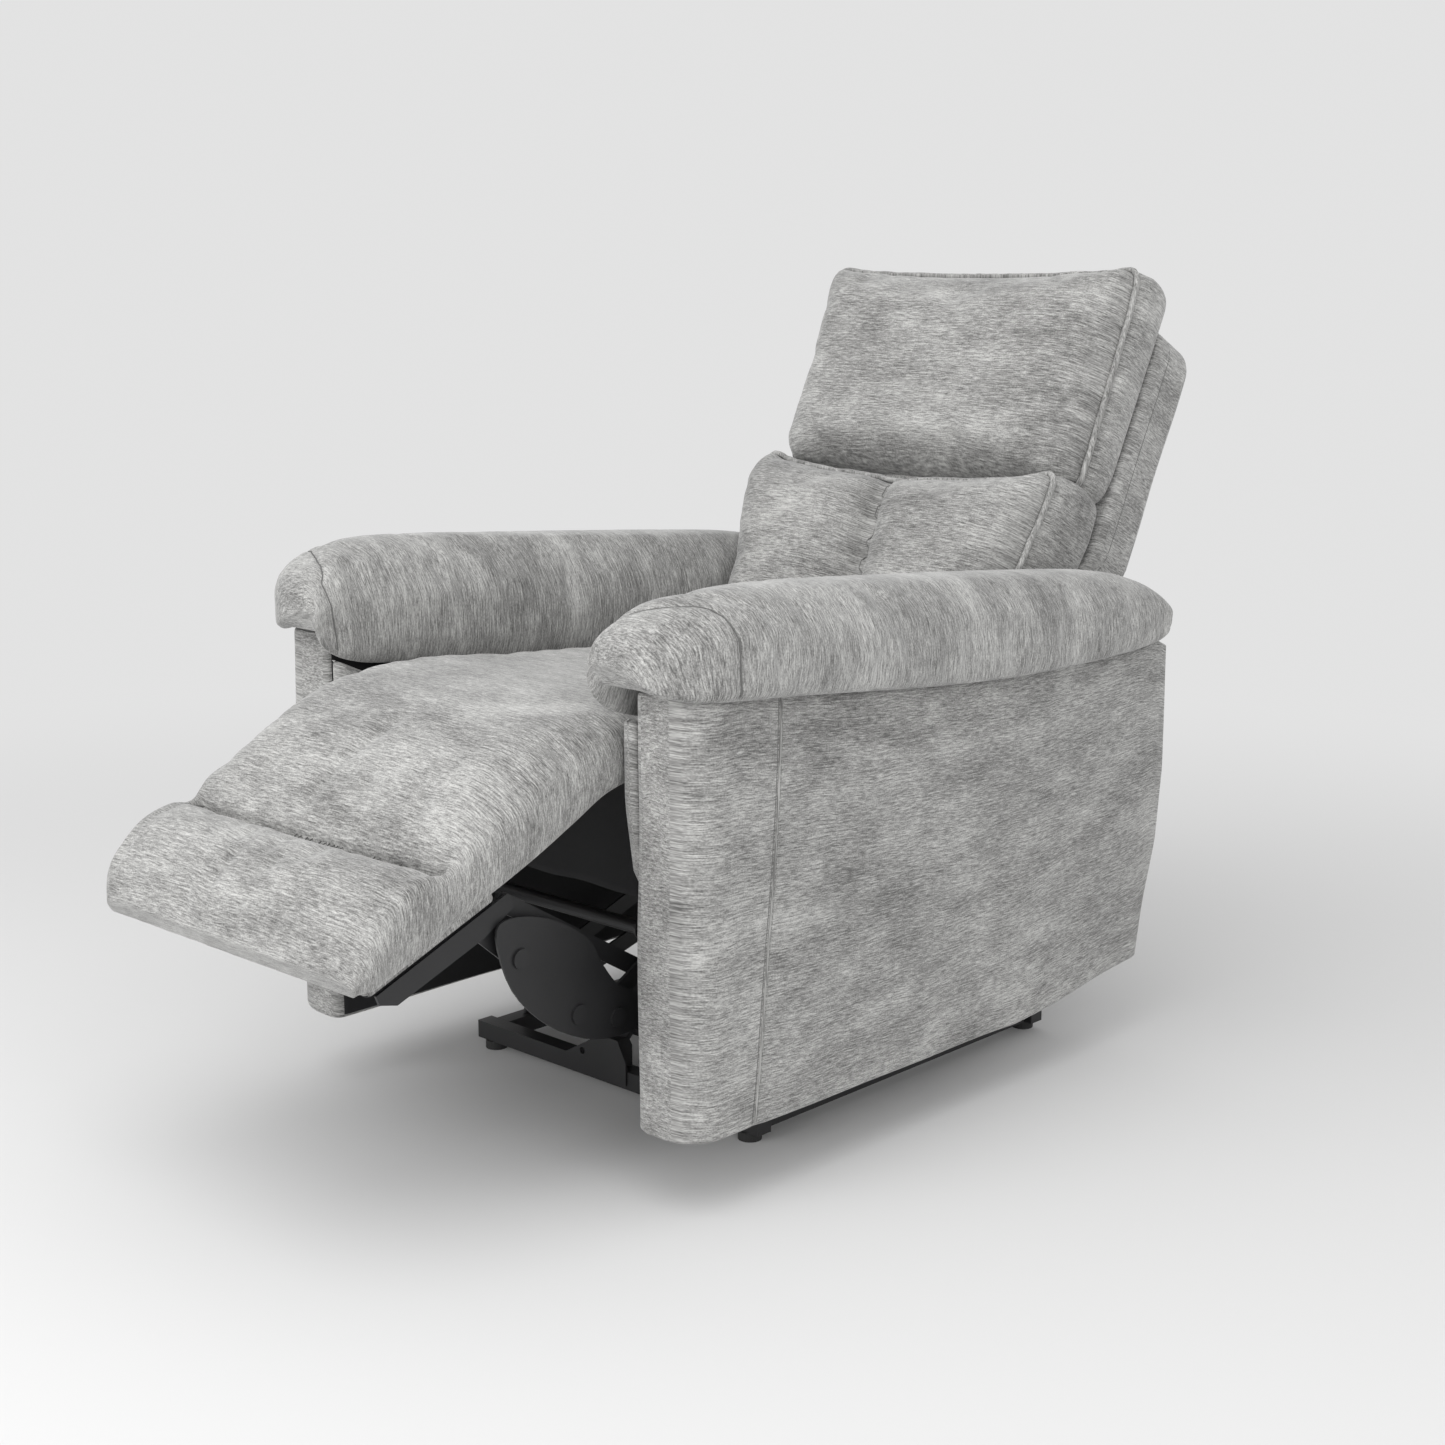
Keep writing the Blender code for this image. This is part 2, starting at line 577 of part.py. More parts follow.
def weld_actuator_clevis(bar):
    """Gusset plate on the crossbar's front with two ears and the lower actuator pin."""
    y, z = LIFT_ACTUATOR_PIVOT
    ear_top = z + CLEVIS_EAR_MARGIN
    ear_outer = CLEVIS_EAR_X + LINK_THICK / 2
    bar_top = FOOT_HEIGHT + BAR
    gusset = [(GUSSET_FROM_X, GUSSET_BOTTOM_Z), (GUSSET_TO_X, GUSSET_BOTTOM_Z),
              (GUSSET_TO_X, bar_top + CLEVIS_EAR_MARGIN), (ear_outer, ear_top), (-ear_outer, ear_top),
              (-2 * ear_outer, ear_top - CLEVIS_EAR_MARGIN), (GUSSET_FROM_X, bar_top)]
    gusset_y = -BAR / 2 - GUSSET_THICK / 2 + SEAT_GAP
    gusset_hole = arc_points(GUSSET_HOLE, GUSSET_HOLE_RADIUS)
    join(bar, plate([gusset, gusset_hole], GUSSET_THICK, TURN_TO_Y), (0, gusset_y, 0))
    front = -BAR / 2 - GUSSET_THICK / 2
    foot = bar_top - WELD_DEPTH
    ear = [(front, foot), (BAR / 2, foot), (BAR / 2, z), (BAR / 4, ear_top), (front, ear_top)]
    for x in (-CLEVIS_EAR_X, CLEVIS_EAR_X):
        join(bar, plate([ear], LINK_THICK), (x, y, 0))
    join(bar, across(PIN_RADIUS, 2 * (CLEVIS_EAR_X + PIN_PROUD), HOLE_SIDES), (0, y, z))


# ---- lift links and chassis --------------------------------------------------------------------------
def make_lift_links():
    for side in (1, -1):
        x = layer_middle(LAYER_LIFT, side)
        front = hull([(LIFT_FRONT_FOOT, LINK_HALF_WIDTH), (LIFT_FRONT_TOP, LINK_HALF_WIDTH)])
        front_holes = [hole(LIFT_FRONT_FOOT), hole(LIFT_FRONT_TOP)]
        add_part(f"lift_front_link_{side_name(side)}", plate([front, *front_holes], LINK_THICK),
                 "front_lift_link", BLACK_STEEL, (x, 0, 0))
        rear = hull([(LIFT_REAR_FOOT, LINK_HALF_WIDTH), (CHASSIS_REAR_PIVOT, LINK_HALF_WIDTH + 0.002)])
        rear_holes = [hole(LIFT_REAR_FOOT), hole(CHASSIS_REAR_PIVOT, play=LIFT_OPEN_PLAY + PIN_PLAY)]
        add_part(f"lift_rear_link_{side_name(side)}", plate([rear, *rear_holes], LINK_THICK),
                 "rear_lift_link", BLACK_STEEL, (x, 0, 0))


def chassis_outline():
    front_y = SEAT_RAIL_FRONT_Y
    top = CHASSIS_TOP
    k_y, k_z = BACK_PIVOT
    d_y, d_z = CHASSIS_REAR_PIVOT
    b_y, b_z = LIFT_FRONT_TOP
    t_y, t_z = DRIVE_SHAFT
    p_y, p_z = REAR_CRANK_PIVOT
    return [(front_y, top), (front_y, top - 0.026), (FRONT_CRANK_PIVOT[0] - 0.020, p_z - 0.001),
            (p_y - 0.008, p_z - 0.015), (t_y, t_z - 0.022), (b_y - 0.010, b_z - 0.017),
            (b_y + 0.012, b_z - 0.015), (d_y - 0.010, d_z - 0.015), (d_y + 0.010, d_z - 0.014),
            (d_y + 0.014, d_z), (d_y + 0.006, d_z + 0.015), (k_y + 0.019, k_z - 0.020),
            (k_y + 0.019, k_z + 0.008), (k_y + 0.008, top)]


def make_chassis():
    for side in (1, -1):
        x = layer_middle(LAYER_CHASSIS, side)
        panel = add_part(f"chassis_plate_{side_name(side)}", plate([chassis_outline()], LINK_THICK),
                         "chassis", BLACK_STEEL, (x, 0, 0))
        inside = LAYER_CHASSIS + LINK_THICK / 2
        for point in (LIFT_FRONT_TOP, CHASSIS_REAR_PIVOT, BACK_PIVOT):
            pin_between(panel, side, point, inside, LAYER_LIFT + LINK_THICK + PIN_PROUD)
        for point in (FRONT_CRANK_PIVOT, REAR_CRANK_PIVOT):
            pin_between(panel, side, point, LAYER_CRANK - PIN_PROUD, inside)
    add_part("drive_shaft", across(DRIVE_SHAFT_RADIUS, 2 * (LAYER_CHASSIS - SEAT_GAP)), "chassis",
             BARE_STEEL, at_side(DRIVE_SHAFT))


# ---- seat --------------------------------------------------------------------------------------------
def make_seat_frame():
    height = SEAT_RAIL_TOP - CHASSIS_TOP - SEAT_GAP
    middle_z = SEAT_RAIL_TOP - height / 2
    for name, y in (("front", SEAT_RAIL_FRONT_Y), ("rear", SEAT_RAIL_REAR_Y)):
        rail = add_part(f"seat_{name}_rail", box(2 * (CHEEK_X - SEAT_GAP), SEAT_RAIL_DEPTH, height), "chassis",
                        TIMBER, (0, y + SEAT_RAIL_DEPTH / 2, middle_z))
        soften(rail, RAIL_ROUND, 1)
    front_y = SEAT_RAIL_FRONT_Y + SEAT_RAIL_DEPTH + SEAT_GAP
    rear_y = SEAT_RAIL_REAR_Y - SEAT_GAP
    start = front_y + SPRING_LEAD
    span = rear_y - SPRING_LEAD - start
    steps = SPRING_WAVES * SPRING_STEPS
    wave = [(SPRING_AMPLITUDE * math.cos(2 * math.pi * SPRING_WAVES * i / steps), start + span * i / steps, 0)
            for i in range(steps + 1)]
    wave = [(SPRING_AMPLITUDE, front_y, 0), *wave, (SPRING_AMPLITUDE, rear_y, 0)]
    for i in range(SPRING_COUNT):
        x = SPRING_SPACING * (i - (SPRING_COUNT - 1) / 2)
        add_part(f"seat_spring_{i + 1}", wire_tube(wave, SPRING_WIRE), "chassis", BARE_STEEL,
                 (x, 0, SEAT_RAIL_TOP - 2 * SPRING_WIRE))


def crowned_pad(seam, middle):
    """A pad as wide as the seat, with the seam's outline at its sides and the middle's outline between them."""
    half = [(SEAT_HALF_WIDTH - inset, share) for inset, share in PAD_SWELL]
    form = bmesh.new()
    rings = [[form.verts.new((x, y0 + (y1 - y0) * share, z0 + (z1 - z0) * share))
              for (y0, z0), (y1, z1) in zip(seam, middle)]
             for x, share in [*half, *((-x, share) for x, share in reversed(half))]]
    for ring, following in zip(rings, rings[1:]):
        for i, vertex in enumerate(ring):
            form.faces.new((ring[i - 1], vertex, following[i], following[i - 1]))
    for end in (rings[0], rings[-1]):
        form.faces.new(end)
    bmesh.ops.recalc_face_normals(form, faces=form.faces)
    mesh = bpy.data.meshes.new("pad")
    form.to_mesh(mesh)
    form.free()
    return mesh


def seat_cushion_outline(top):
    bottom = SEAT_RAIL_TOP + SEAT_GAP
    front = SEAT_CUSHION_FRONT_Y
    rear = SEAT_CUSHION_REAR_Y
    crown = SEAT_CUSHION_CROWN
    return [(front + crown, bottom), (rear - crown, bottom), (rear, bottom + crown), (rear, top - crown),
            (rear - crown, top - crown / 4), (0, top), (front / 2, top), (front + crown, top - crown / 3),
            (front, top - crown), (front, bottom + crown)]


def make_seat_cushion():
    cushion = crowned_pad(seat_cushion_outline(SEAT_CUSHION_SEAM), seat_cushion_outline(SEAT_CUSHION_TOP))
    add_part("seat_cushion", cushion, "chassis", UPHOLSTERY)


def make_skirt():
    top = SEAT_RAIL_TOP - SKIRT_BELOW_RAIL
    add_part("front_skirt", box(2 * SKIRT_HALF_WIDTH, SKIRT_THICK, SKIRT_DROP), "chassis", CAMBRIC,
             (0, SEAT_RAIL_FRONT_Y - SEAT_GAP - SKIRT_THICK / 2, top - SKIRT_DROP / 2))


# ---- arms --------------------------------------------------------------------------------------------
def pad_bottom_at(y):
    """Height of the arm pad's underside."""
    for (y0, z0), (y1, z1) in zip(PAD_BOTTOM, PAD_BOTTOM[1:]):
        if y <= y1:
            return z0 + (z1 - z0) * (y - y0) / (y1 - y0)
    return PAD_BOTTOM[-1][1]


def under_pad(y_from, y_to):
    """The pad's underside from the rear to the front, lowered by the seating gap."""
    inner = [(y, z - SEAT_GAP) for y, z in PAD_BOTTOM if y_from < y < y_to]
    ends = [(y, pad_bottom_at(y) - SEAT_GAP) for y in (y_from, y_to)]
    return [ends[1], *inner[::-1], ends[0]]


def make_arms():
    panel_outline = [(PANEL_FRONT_Y, PANEL_BOTTOM_Z), *PANEL_REAR, *under_pad(PANEL_FRONT_Y, PANEL_TOP_REAR_Y)]
    cheek_outline = [*CHEEK_BOTTOM, *under_pad(*CHEEK_TOP_SPAN), *CHEEK_FRONT]
    panel_inner = CHEEK_X + CHEEK_THICK + SEAT_GAP
    panel_width = PANEL_OUTER_X - panel_inner
    for side in (1, -1):
        name = side_name(side)
        panel = plate([panel_outline], panel_width)
        for outward, nose in ((side, PANEL_NOSE), (-side, PANEL_INNER_NOSE)):
            bevel_edges(panel, lambda co: co.y < PANEL_FRONT_Y + SEAT_GAP and co.x * outward > 0, nose, 5)
        add_part(f"arm_panel_{name}", panel, "chassis", UPHOLSTERY, (side * (panel_inner + panel_width / 2), 0, 0))
        add_part(f"cheek_{name}", plate([cheek_outline], CHEEK_THICK), "chassis", UPHOLSTERY,
                 (side * (CHEEK_X + CHEEK_THICK / 2), 0, 0))
        add_part(f"arm_pad_{name}", plate([PAD_BOTTOM + PAD_TOP], PAD_OUTER_X - PAD_INNER_X, rounding=PAD_ROUND,
                 rounding_steps=2), "chassis", UPHOLSTERY, (side * (PAD_INNER_X + PAD_OUTER_X) / 2, 0, 0))


# ---- back --------------------------------------------------------------------------------------------
def make_back():
    rear = SHELL_FRONT - SEAT_GAP
    head = [*HEAD_FACE, (HEAD_SPAN[1], rear), (HEAD_SPAN[0], rear)]
    lumbar = [*LUMBAR_FACE, (LUMBAR_FACE[-1][0], rear), (LUMBAR_BOTTOM, rear)]
    for name, outline, half_width in (("head_cushion", head, HEAD_HALF_WIDTH),
                                      ("lumbar_cushion", lumbar, LUMBAR_HALF_WIDTH)):
        side_view = [on_back(*point) for point in outline]
        cushion = add_part(name, plate([side_view], 2 * half_width), "back", UPHOLSTERY)
        soften(cushion, CUSHION_EDGE, 1)
    make_shell()
    make_back_brackets()
    make_recline_lug()


def make_shell():
    """The outer back: its outline is seen from the front and it is as thick as the timber frame in it."""
    narrow = LAYER_LIFT - SEAT_GAP
    foot = LAYER_CRANK
    half = [(foot, SHELL_BOTTOM), (foot, SHELL_FOOT_TOP), (narrow, SHELL_FOOT_TOP),
            (narrow, SHELL_NARROW_TOP), (SHELL_HALF_WIDTH, SHELL_WIDE_FROM),
            *((SHELL_HALF_WIDTH - inward, SHELL_TOP - down) for inward, down in SHELL_CORNER)]
    outline = half + [(-x, t) for x, t in reversed(half)]
    shell = add_part("back_shell", plate([outline], SHELL_THICK, TURN_TO_Y), "back", UPHOLSTERY,
                     at_side(on_back(0, SHELL_FRONT + SHELL_THICK / 2)), -math.radians(BACK_TILT))
    soften(shell, SHELL_EDGE, 2)


def make_back_brackets():
    k_along = Vector(BACK_PIVOT).dot(ALONG_BACK)
    k_across = Vector(BACK_PIVOT).dot(ACROSS_BACK)
    outline = [(k_along - BRACKET_EYE, k_across - BRACKET_EYE), (k_along + BRACKET_EYE, k_across - BRACKET_EYE),
               (k_along + BRACKET_EYE, SHELL_FRONT + SEAT_GAP), (BRACKET_TOP, SHELL_FRONT + BRACKET_INSET),
               (BRACKET_TOP, SHELL_FRONT + BRACKET_DEPTH), (SHELL_BOTTOM, SHELL_FRONT + BRACKET_DEPTH)]
    side_view = [on_back(*point) for point in outline]
    for side in (1, -1):
        add_part(f"back_bracket_{side_name(side)}", plate([side_view, hole(BACK_PIVOT)], LINK_THICK),
                 "back", BLACK_STEEL, (layer_middle(LAYER_LIFT, side), 0, 0))


def make_recline_lug():
    """Two ears and a pin under the shell's lower end, welded to a foot plate."""
    middle = SHELL_BOTTOM - SEAT_GAP - RECLINE_FOOT_THICK / 2
    foot_mid = SHELL_FRONT + RECLINE_FOOT_INSET + RECLINE_FOOT_DEPTH / 2
    lug = add_part("recline_lug", box(RECLINE_FOOT_WIDTH, RECLINE_FOOT_DEPTH, RECLINE_FOOT_THICK), "back",
                   BLACK_STEEL, (RECLINE_ACTUATOR_X, *on_back(middle, foot_mid)), -math.radians(BACK_TILT))
    ear = hull([(RECLINE_LUG, RECLINE_EAR_RADIUS), (on_back(middle, foot_mid - RECLINE_FOOT_DEPTH / 2), 0),
                (on_back(middle, foot_mid + RECLINE_FOOT_DEPTH / 4), 0)])
    for offset in (-RECLINE_EAR_X, RECLINE_EAR_X):
        join(lug, plate([ear], LINK_THICK), (RECLINE_ACTUATOR_X + offset, 0, 0))
    pin_length = 2 * (RECLINE_EAR_X + LINK_THICK / 2 + SEAT_GAP)
    join(lug, across(PIN_RADIUS, pin_length, HOLE_SIDES), (RECLINE_ACTUATOR_X, *RECLINE_LUG))


# ---- footrest ----------------------------------------------------------------------------------------
def make_drive_frame():
    """Rear cranks welded to the cross tube, with the arm that the footrest actuator drives."""
    width = COUPLER_HALF_WIDTH
    crank = hull([(REAR_CRANK_PIVOT, width), (REAR_CRANK_END, width)])
    frame = add_part("footrest_drive_frame", across(CROSS_TUBE_RADIUS, 2 * LAYER_CRANK + LINK_THICK),
                     "rear_crank", BLACK_STEEL, at_side(CROSS_TUBE))
    for side in (1, -1):
        join(frame, plate([crank, hole(REAR_CRANK_PIVOT)], LINK_THICK), (layer_middle(LAYER_CRANK, side), 0, 0))
        pin_between(frame, side, REAR_CRANK_END, LAYER_COUPLER - PIN_PROUD, LAYER_CRANK + LINK_THICK / 2)
    arm_x = FOOTREST_ACTUATOR_X + YOKE_THICK / 2 + DRIVE_ARM_GAP
    arm = hull([(CROSS_TUBE, DRIVE_ARM_ROOT), (DRIVE_PIN, DRIVE_ARM_TIP)])
    join(frame, plate([arm], LINK_THICK), (arm_x + LINK_THICK / 2, 0, 0))
    pin_from = FOOTREST_ACTUATOR_X - YOKE_THICK / 2 - PIN_PROUD
    pin_between(frame, 1, DRIVE_PIN, pin_from, arm_x + LINK_THICK / 2, DRIVE_PIN_RADIUS)


def make_cranks_and_couplers():
    width = COUPLER_HALF_WIDTH
    pin_from = LAYER_COUPLER - PIN_PROUD
    for side in (1, -1):
        name = side_name(side)
        crank_x = layer_middle(LAYER_CRANK, side)
        coupler_x = layer_middle(LAYER_COUPLER, side)
        crank = add_part(f"footrest_front_crank_{name}",
                         plate([hull([(FRONT_CRANK_PIVOT, width), (FRONT_CRANK_END, width)]),
                                hole(FRONT_CRANK_PIVOT)], LINK_THICK), "front_crank", BLACK_STEEL,
                         (crank_x, 0, 0))
        for joint in (FRONT_CRANK_JOINT, FRONT_CRANK_END):
            pin_between(crank, side, joint, pin_from, LAYER_CRANK + LINK_THICK / 2)
        inner = [hull([(REAR_CRANK_END, width), (FIRST_KNUCKLE, width)]), hole(REAR_CRANK_END),
                 hole(FRONT_CRANK_JOINT), hole(FIRST_KNUCKLE)]
        add_part(f"footrest_inner_coupler_{name}", plate(inner, LINK_THICK), "inner_coupler", BLACK_STEEL,
                 (coupler_x, 0, 0))
        make_outer_coupler(side, coupler_x)
        make_guard(side)


def make_outer_coupler(side, x):
    """The long coupler, with two bosses that carry the guard plate outside the cranks."""
    width = COUPLER_HALF_WIDTH
    outline = hull([(FRONT_CRANK_END, width), (SECOND_KNUCKLE, width), (GUARD_UPPER_BOSS, width),
                    (GUARD_LOWER_BOSS, width)])
    coupler = add_part(f"footrest_outer_coupler_{side_name(side)}",
                       plate([outline, hole(FRONT_CRANK_END), hole(SECOND_KNUCKLE)], LINK_THICK),
                       "outer_coupler", BLACK_STEEL, (x, 0, 0))
    for boss in (GUARD_UPPER_BOSS, GUARD_LOWER_BOSS):
        pin_between(coupler, side, boss, LAYER_COUPLER + LINK_THICK / 2, LAYER_CHASSIS - SEAT_GAP,
                    GUARD_BOSS_RADIUS)


def make_guard(side):
    """Black guard plate beside the scissor links, with two blind caps and one pivot cap."""
    middle = LAYER_CHASSIS + GUARD_THICK / 2
    guard = add_part(f"footrest_guard_{side_name(side)}", plate([smooth_loop(GUARD_OUTLINE)], GUARD_THICK),
                     "outer_coupler", BLACK_STEEL, (side * middle, 0, 0))
    for cap in GUARD_CAPS:
        pin_between(guard, side, cap, middle, middle + GUARD_THICK / 2 + GUARD_CAP_PROUD, GUARD_CAP_RADIUS,
                    ROUND_SIDES)


def make_footrest():
    board_outline = [on_board(BOARD_FROM, 0), on_board(BOARD_TO, 0), on_board(BOARD_TO, BOARD_THICK),
                     on_board(BOARD_FROM, BOARD_THICK)]
    board = add_part("footrest_board", plate([board_outline], 2 * (LAYER_CRANK + LINK_THICK)),
                     "footrest", UPHOLSTERY)
    soften(board, BOARD_EDGE, 1)
    top = BOARD_THICK + SEAT_GAP
    front = BOARD_TO - BRACKET_SETBACK
    bracket_outline = [on_board(front, top), on_board(front, top + LINK_HALF_WIDTH),
                       on_board(front - 2 * BRACKET_SETBACK, BRACKET_DROP),
                       on_board(SECOND_KNUCKLE_ALONG, BRACKET_DROP + 0.002), on_board(0.214, BRACKET_DROP - 0.006),
                       on_board(0.210, 0.033), on_board(0.214, top)]
    for side in (1, -1):
        bracket = add_part(f"footrest_bracket_{side_name(side)}", plate([bracket_outline], LINK_THICK),
                           "footrest", BLACK_STEEL, (layer_middle(LAYER_CRANK, side), 0, 0))
        for knuckle in (FIRST_KNUCKLE, SECOND_KNUCKLE):
            pin_between(bracket, side, knuckle, LAYER_COUPLER - PIN_PROUD, LAYER_CRANK + LINK_THICK / 2)
    make_footrest_pad()


def make_footrest_pad():
    past = SEAT_GAP + BOARD_EDGE
    under = [on_board(BOARD_TO + FOOTREST_PAD_LIP, BOARD_EDGE), on_board(BOARD_TO + past, BOARD_EDGE),
             on_board(BOARD_TO + past, -SEAT_GAP), on_board(BOARD_FROM - past, -SEAT_GAP), *FOOTREST_PAD_UNDER]
    add_part("footrest_pad", crowned_pad([*FOOTREST_PAD_SEAM, *under], [*FOOTREST_PAD_TOP, *under]), "footrest",
             UPHOLSTERY)


# ---- actuators ---------------------------------------------------------------------------------------
def make_swinging_actuator(name, x, pivot, tip, gear_span, tube_end, pivot_radius, tip_radius, tip_play):
    """Housing on one pivot, hollow outer tube, and a rod whose eye rides on the tip's pin or shaft."""
    axis = Vector(tip) - Vector(pivot)
    length = axis.length
    angle = math.atan2(axis.y, axis.x)
    unit = axis / length
    turn = angle - math.pi / 2

    def point(distance):
        return (x, *(Vector(pivot) + distance * unit))

    gear_from, gear_to = gear_span
    eye_outer = pivot_radius + EYE_RIM
    housing = add_part(f"{name}_actuator_housing", box(GEARBOX, GEARBOX, gear_to - gear_from),
                       f"{name}_housing", BLACK_PLASTIC, point((gear_from + gear_to) / 2), turn)
    neck = gear_from + WELD_DEPTH
    join(housing, box(2 * EYE_HALF_WIDTH, 1.6 * pivot_radius, neck), point(neck / 2), turn)
    join(housing, across(eye_outer, 2 * (EYE_HALF_WIDTH + SEAT_GAP)), point(0))
    cut(housing, across(bore_radius(pivot_radius, PIN_PLAY, ROUND_SIDES), CUT_THROUGH), point(0))
    tube_from = gear_to - WELD_DEPTH
    join(housing, cylinder(TUBE_RADIUS, tube_end - tube_from), point((tube_end + tube_from) / 2), turn)
    motor_x = x + GEARBOX / 2 + MOTOR_RADIUS - WELD_DEPTH
    motor_at = point(gear_from + WELD_DEPTH + SWING_MOTOR_LENGTH / 2)
    join(housing, cylinder(MOTOR_RADIUS, SWING_MOTOR_LENGTH), (motor_x, *motor_at[1:]), turn)
    bore_from = gear_from + EYE_RIM
    bore_to = tube_end + CUT_PAST
    cut(housing, cylinder(ROD_RADIUS + BORE_PLAY, bore_to - bore_from), point((bore_to + bore_from) / 2), turn)

    tip_inner = bore_radius(tip_radius, tip_play, ROUND_SIDES)
    tip_outer = tip_inner + EYE_RIM
    rod_from = bore_from + ROD_END_ROOM[name]
    rod_to = length - tip_outer + EYE_RIM / 2
    rod = add_part(f"{name}_actuator_rod", cylinder(ROD_RADIUS, rod_to - rod_from), f"{name}_rod", BARE_STEEL,
                   point((rod_from + rod_to) / 2), turn)
    join(rod, across(tip_outer, 2 * ROD_EYE_HALF_WIDTH), point(length))
    cut(rod, across(tip_inner, CUT_THROUGH), point(length))


def make_footrest_actuator():
    """Fixed housing under the drive shaft; its rod ends in a slotted yoke that the drive pin runs in."""
    x = FOOTREST_ACTUATOR_X
    axis_z = (DRIVE_PIN_HIGH + DRIVE_PIN_LOW) / 2
    shaft_y, shaft_z = DRIVE_SHAFT
    block_bottom = axis_z - GEARBOX / 2
    block_top = shaft_z + DRIVE_SHAFT_RADIUS + EYE_RIM
    along_y = Matrix.Rotation(math.pi / 2, 4, "X")
    housing = add_part("footrest_actuator_housing", box(GEARBOX, FOOTREST_BLOCK_LENGTH, block_top - block_bottom),
                       "chassis", BLACK_PLASTIC, (x, shaft_y, (block_bottom + block_top) / 2))
    front = FOOTREST_TUBE_FRONT_Y
    join(housing, cylinder(TUBE_RADIUS, shaft_y - front, along_y), (x, (front + shaft_y) / 2, axis_z))
    motor_y = shaft_y + (FOOTREST_BLOCK_LENGTH + FOOTREST_MOTOR_LENGTH) / 2 - WELD_DEPTH
    join(housing, cylinder(MOTOR_RADIUS, FOOTREST_MOTOR_LENGTH, along_y), (x, motor_y, axis_z))
    bore_y = front - CUT_PAST + FOOTREST_BORE_LENGTH / 2
    cut(housing, cylinder(ROD_RADIUS + BORE_PLAY, FOOTREST_BORE_LENGTH, along_y), (x, bore_y, axis_z))
    shaft_hole = bore_radius(DRIVE_SHAFT_RADIUS, PIN_PLAY, ROUND_SIDES)
    cut(housing, across(shaft_hole, CUT_THROUGH), (x, shaft_y, shaft_z))

    pin_y = DRIVE_PIN.x
    half_slot = DRIVE_PIN_RADIUS + YOKE_PLAY
    ends = ((pin_y, DRIVE_PIN_LOW - YOKE_EXTRA), (pin_y, DRIVE_PIN_HIGH + YOKE_EXTRA))
    slot = hull([(end, half_slot) for end in ends])
    frame = hull([(end, half_slot + YOKE_RIM) for end in ends])
    yoke = add_part("footrest_actuator_rod", plate([frame, slot], YOKE_THICK), "footrest_rod", BARE_STEEL,
                    (x, 0, 0))
    rod_y = pin_y + half_slot + YOKE_RIM / 2 + FOOTREST_ROD_LENGTH / 2
    join(yoke, cylinder(ROD_RADIUS, FOOTREST_ROD_LENGTH, along_y, sides=16), (x, rod_y, axis_z))


# ---- controls ----------------------------------------------------------------------------------------
def make_control_box():
    """Control box under the rear seat rail, with a round socket for its supply on its rear face."""
    middle_z = CHASSIS_TOP - CONTROL_SIZE[2] / 2
    y = SEAT_RAIL_REAR_Y + SEAT_RAIL_DEPTH / 2
    control = add_part("control_box", box(*CONTROL_SIZE), "chassis", BLACK_PLASTIC, (CONTROL_X, y, middle_z))
    soften(control, BOARD_EDGE, 1)
    along_y = Matrix.Rotation(math.pi / 2, 4, "X")
    inlet_front = y + CONTROL_SIZE[1] / 2 + SEAT_GAP
    inlet = add_part("dc_inlet", cylinder(INLET_RADIUS, INLET_LENGTH, along_y), "chassis", BLACK_PLASTIC,
                     (INLET_X, inlet_front + INLET_LENGTH / 2, middle_z))
    bore_y = inlet_front + INLET_LENGTH - INLET_DEPTH / 2 + CUT_PAST / 2
    cut(inlet, cylinder(INLET_BORE, INLET_DEPTH + CUT_PAST, along_y, HOLE_SIDES), (INLET_X, bore_y, middle_z))


def handset_x():
    """Middle of the handset, in its pocket on the right arm's outer face."""
    return -(PANEL_OUTER_X + SEAT_GAP + POCKET_WALL + POCKET_ROOM / 2 + HANDSET_SIZE[0] / 2)


def rocker_centre(index):
    z = HANDSET_BOTTOM_Z + HANDSET_SIZE[2] - ROCKER_TOP_MARGIN - index * ROCKER_PITCH
    return (handset_x() - HANDSET_SIZE[0] / 2, HANDSET_Y, z)


def make_handset():
    depth = HANDSET_SIZE[0] + POCKET_ROOM + 2 * POCKET_WALL
    width = HANDSET_SIZE[1] + POCKET_ROOM + 2 * POCKET_WALL
    pocket_x = -(PANEL_OUTER_X + SEAT_GAP + depth / 2)
    pocket_top = rocker_centre(ROCKER_COUNT - 1)[2] - ROCKER_SIZE[2] / 2 - POCKET_BELOW_KEYS
    height = pocket_top - POCKET_BOTTOM_Z
    middle_z = POCKET_BOTTOM_Z + height / 2
    pocket = add_part("handset_pocket", box(depth, width, height), "chassis", UPHOLSTERY,
                      (pocket_x, HANDSET_Y, middle_z))
    cut(pocket, box(depth - 2 * POCKET_WALL, width - 2 * POCKET_WALL, height),
        (pocket_x, HANDSET_Y, middle_z + POCKET_WALL))
    handset = add_part("handset", box(*HANDSET_SIZE), "chassis", BLACK_PLASTIC,
                       (handset_x(), HANDSET_Y, HANDSET_BOTTOM_Z + HANDSET_SIZE[2] / 2))
    soften(handset, HANDSET_EDGE, 2)
    thick, width, height = ROCKER_SIZE
    for i in range(ROCKER_COUNT):
        centre = rocker_centre(i)
        room = box(2 * ROCKER_POCKET_DEPTH, width + 2 * ROCKER_PLAY, height + 2 * ROCKER_PLAY + ROCKER_SWING_ROOM)
        cut(handset, room, centre)
        rocker = add_part(f"handset_rocker_{i + 1}", box(thick, width, height), f"rocker_{i + 1}", GREY_PLASTIC,
                          centre)
        soften(rocker, ROCKER_EDGE, 1)


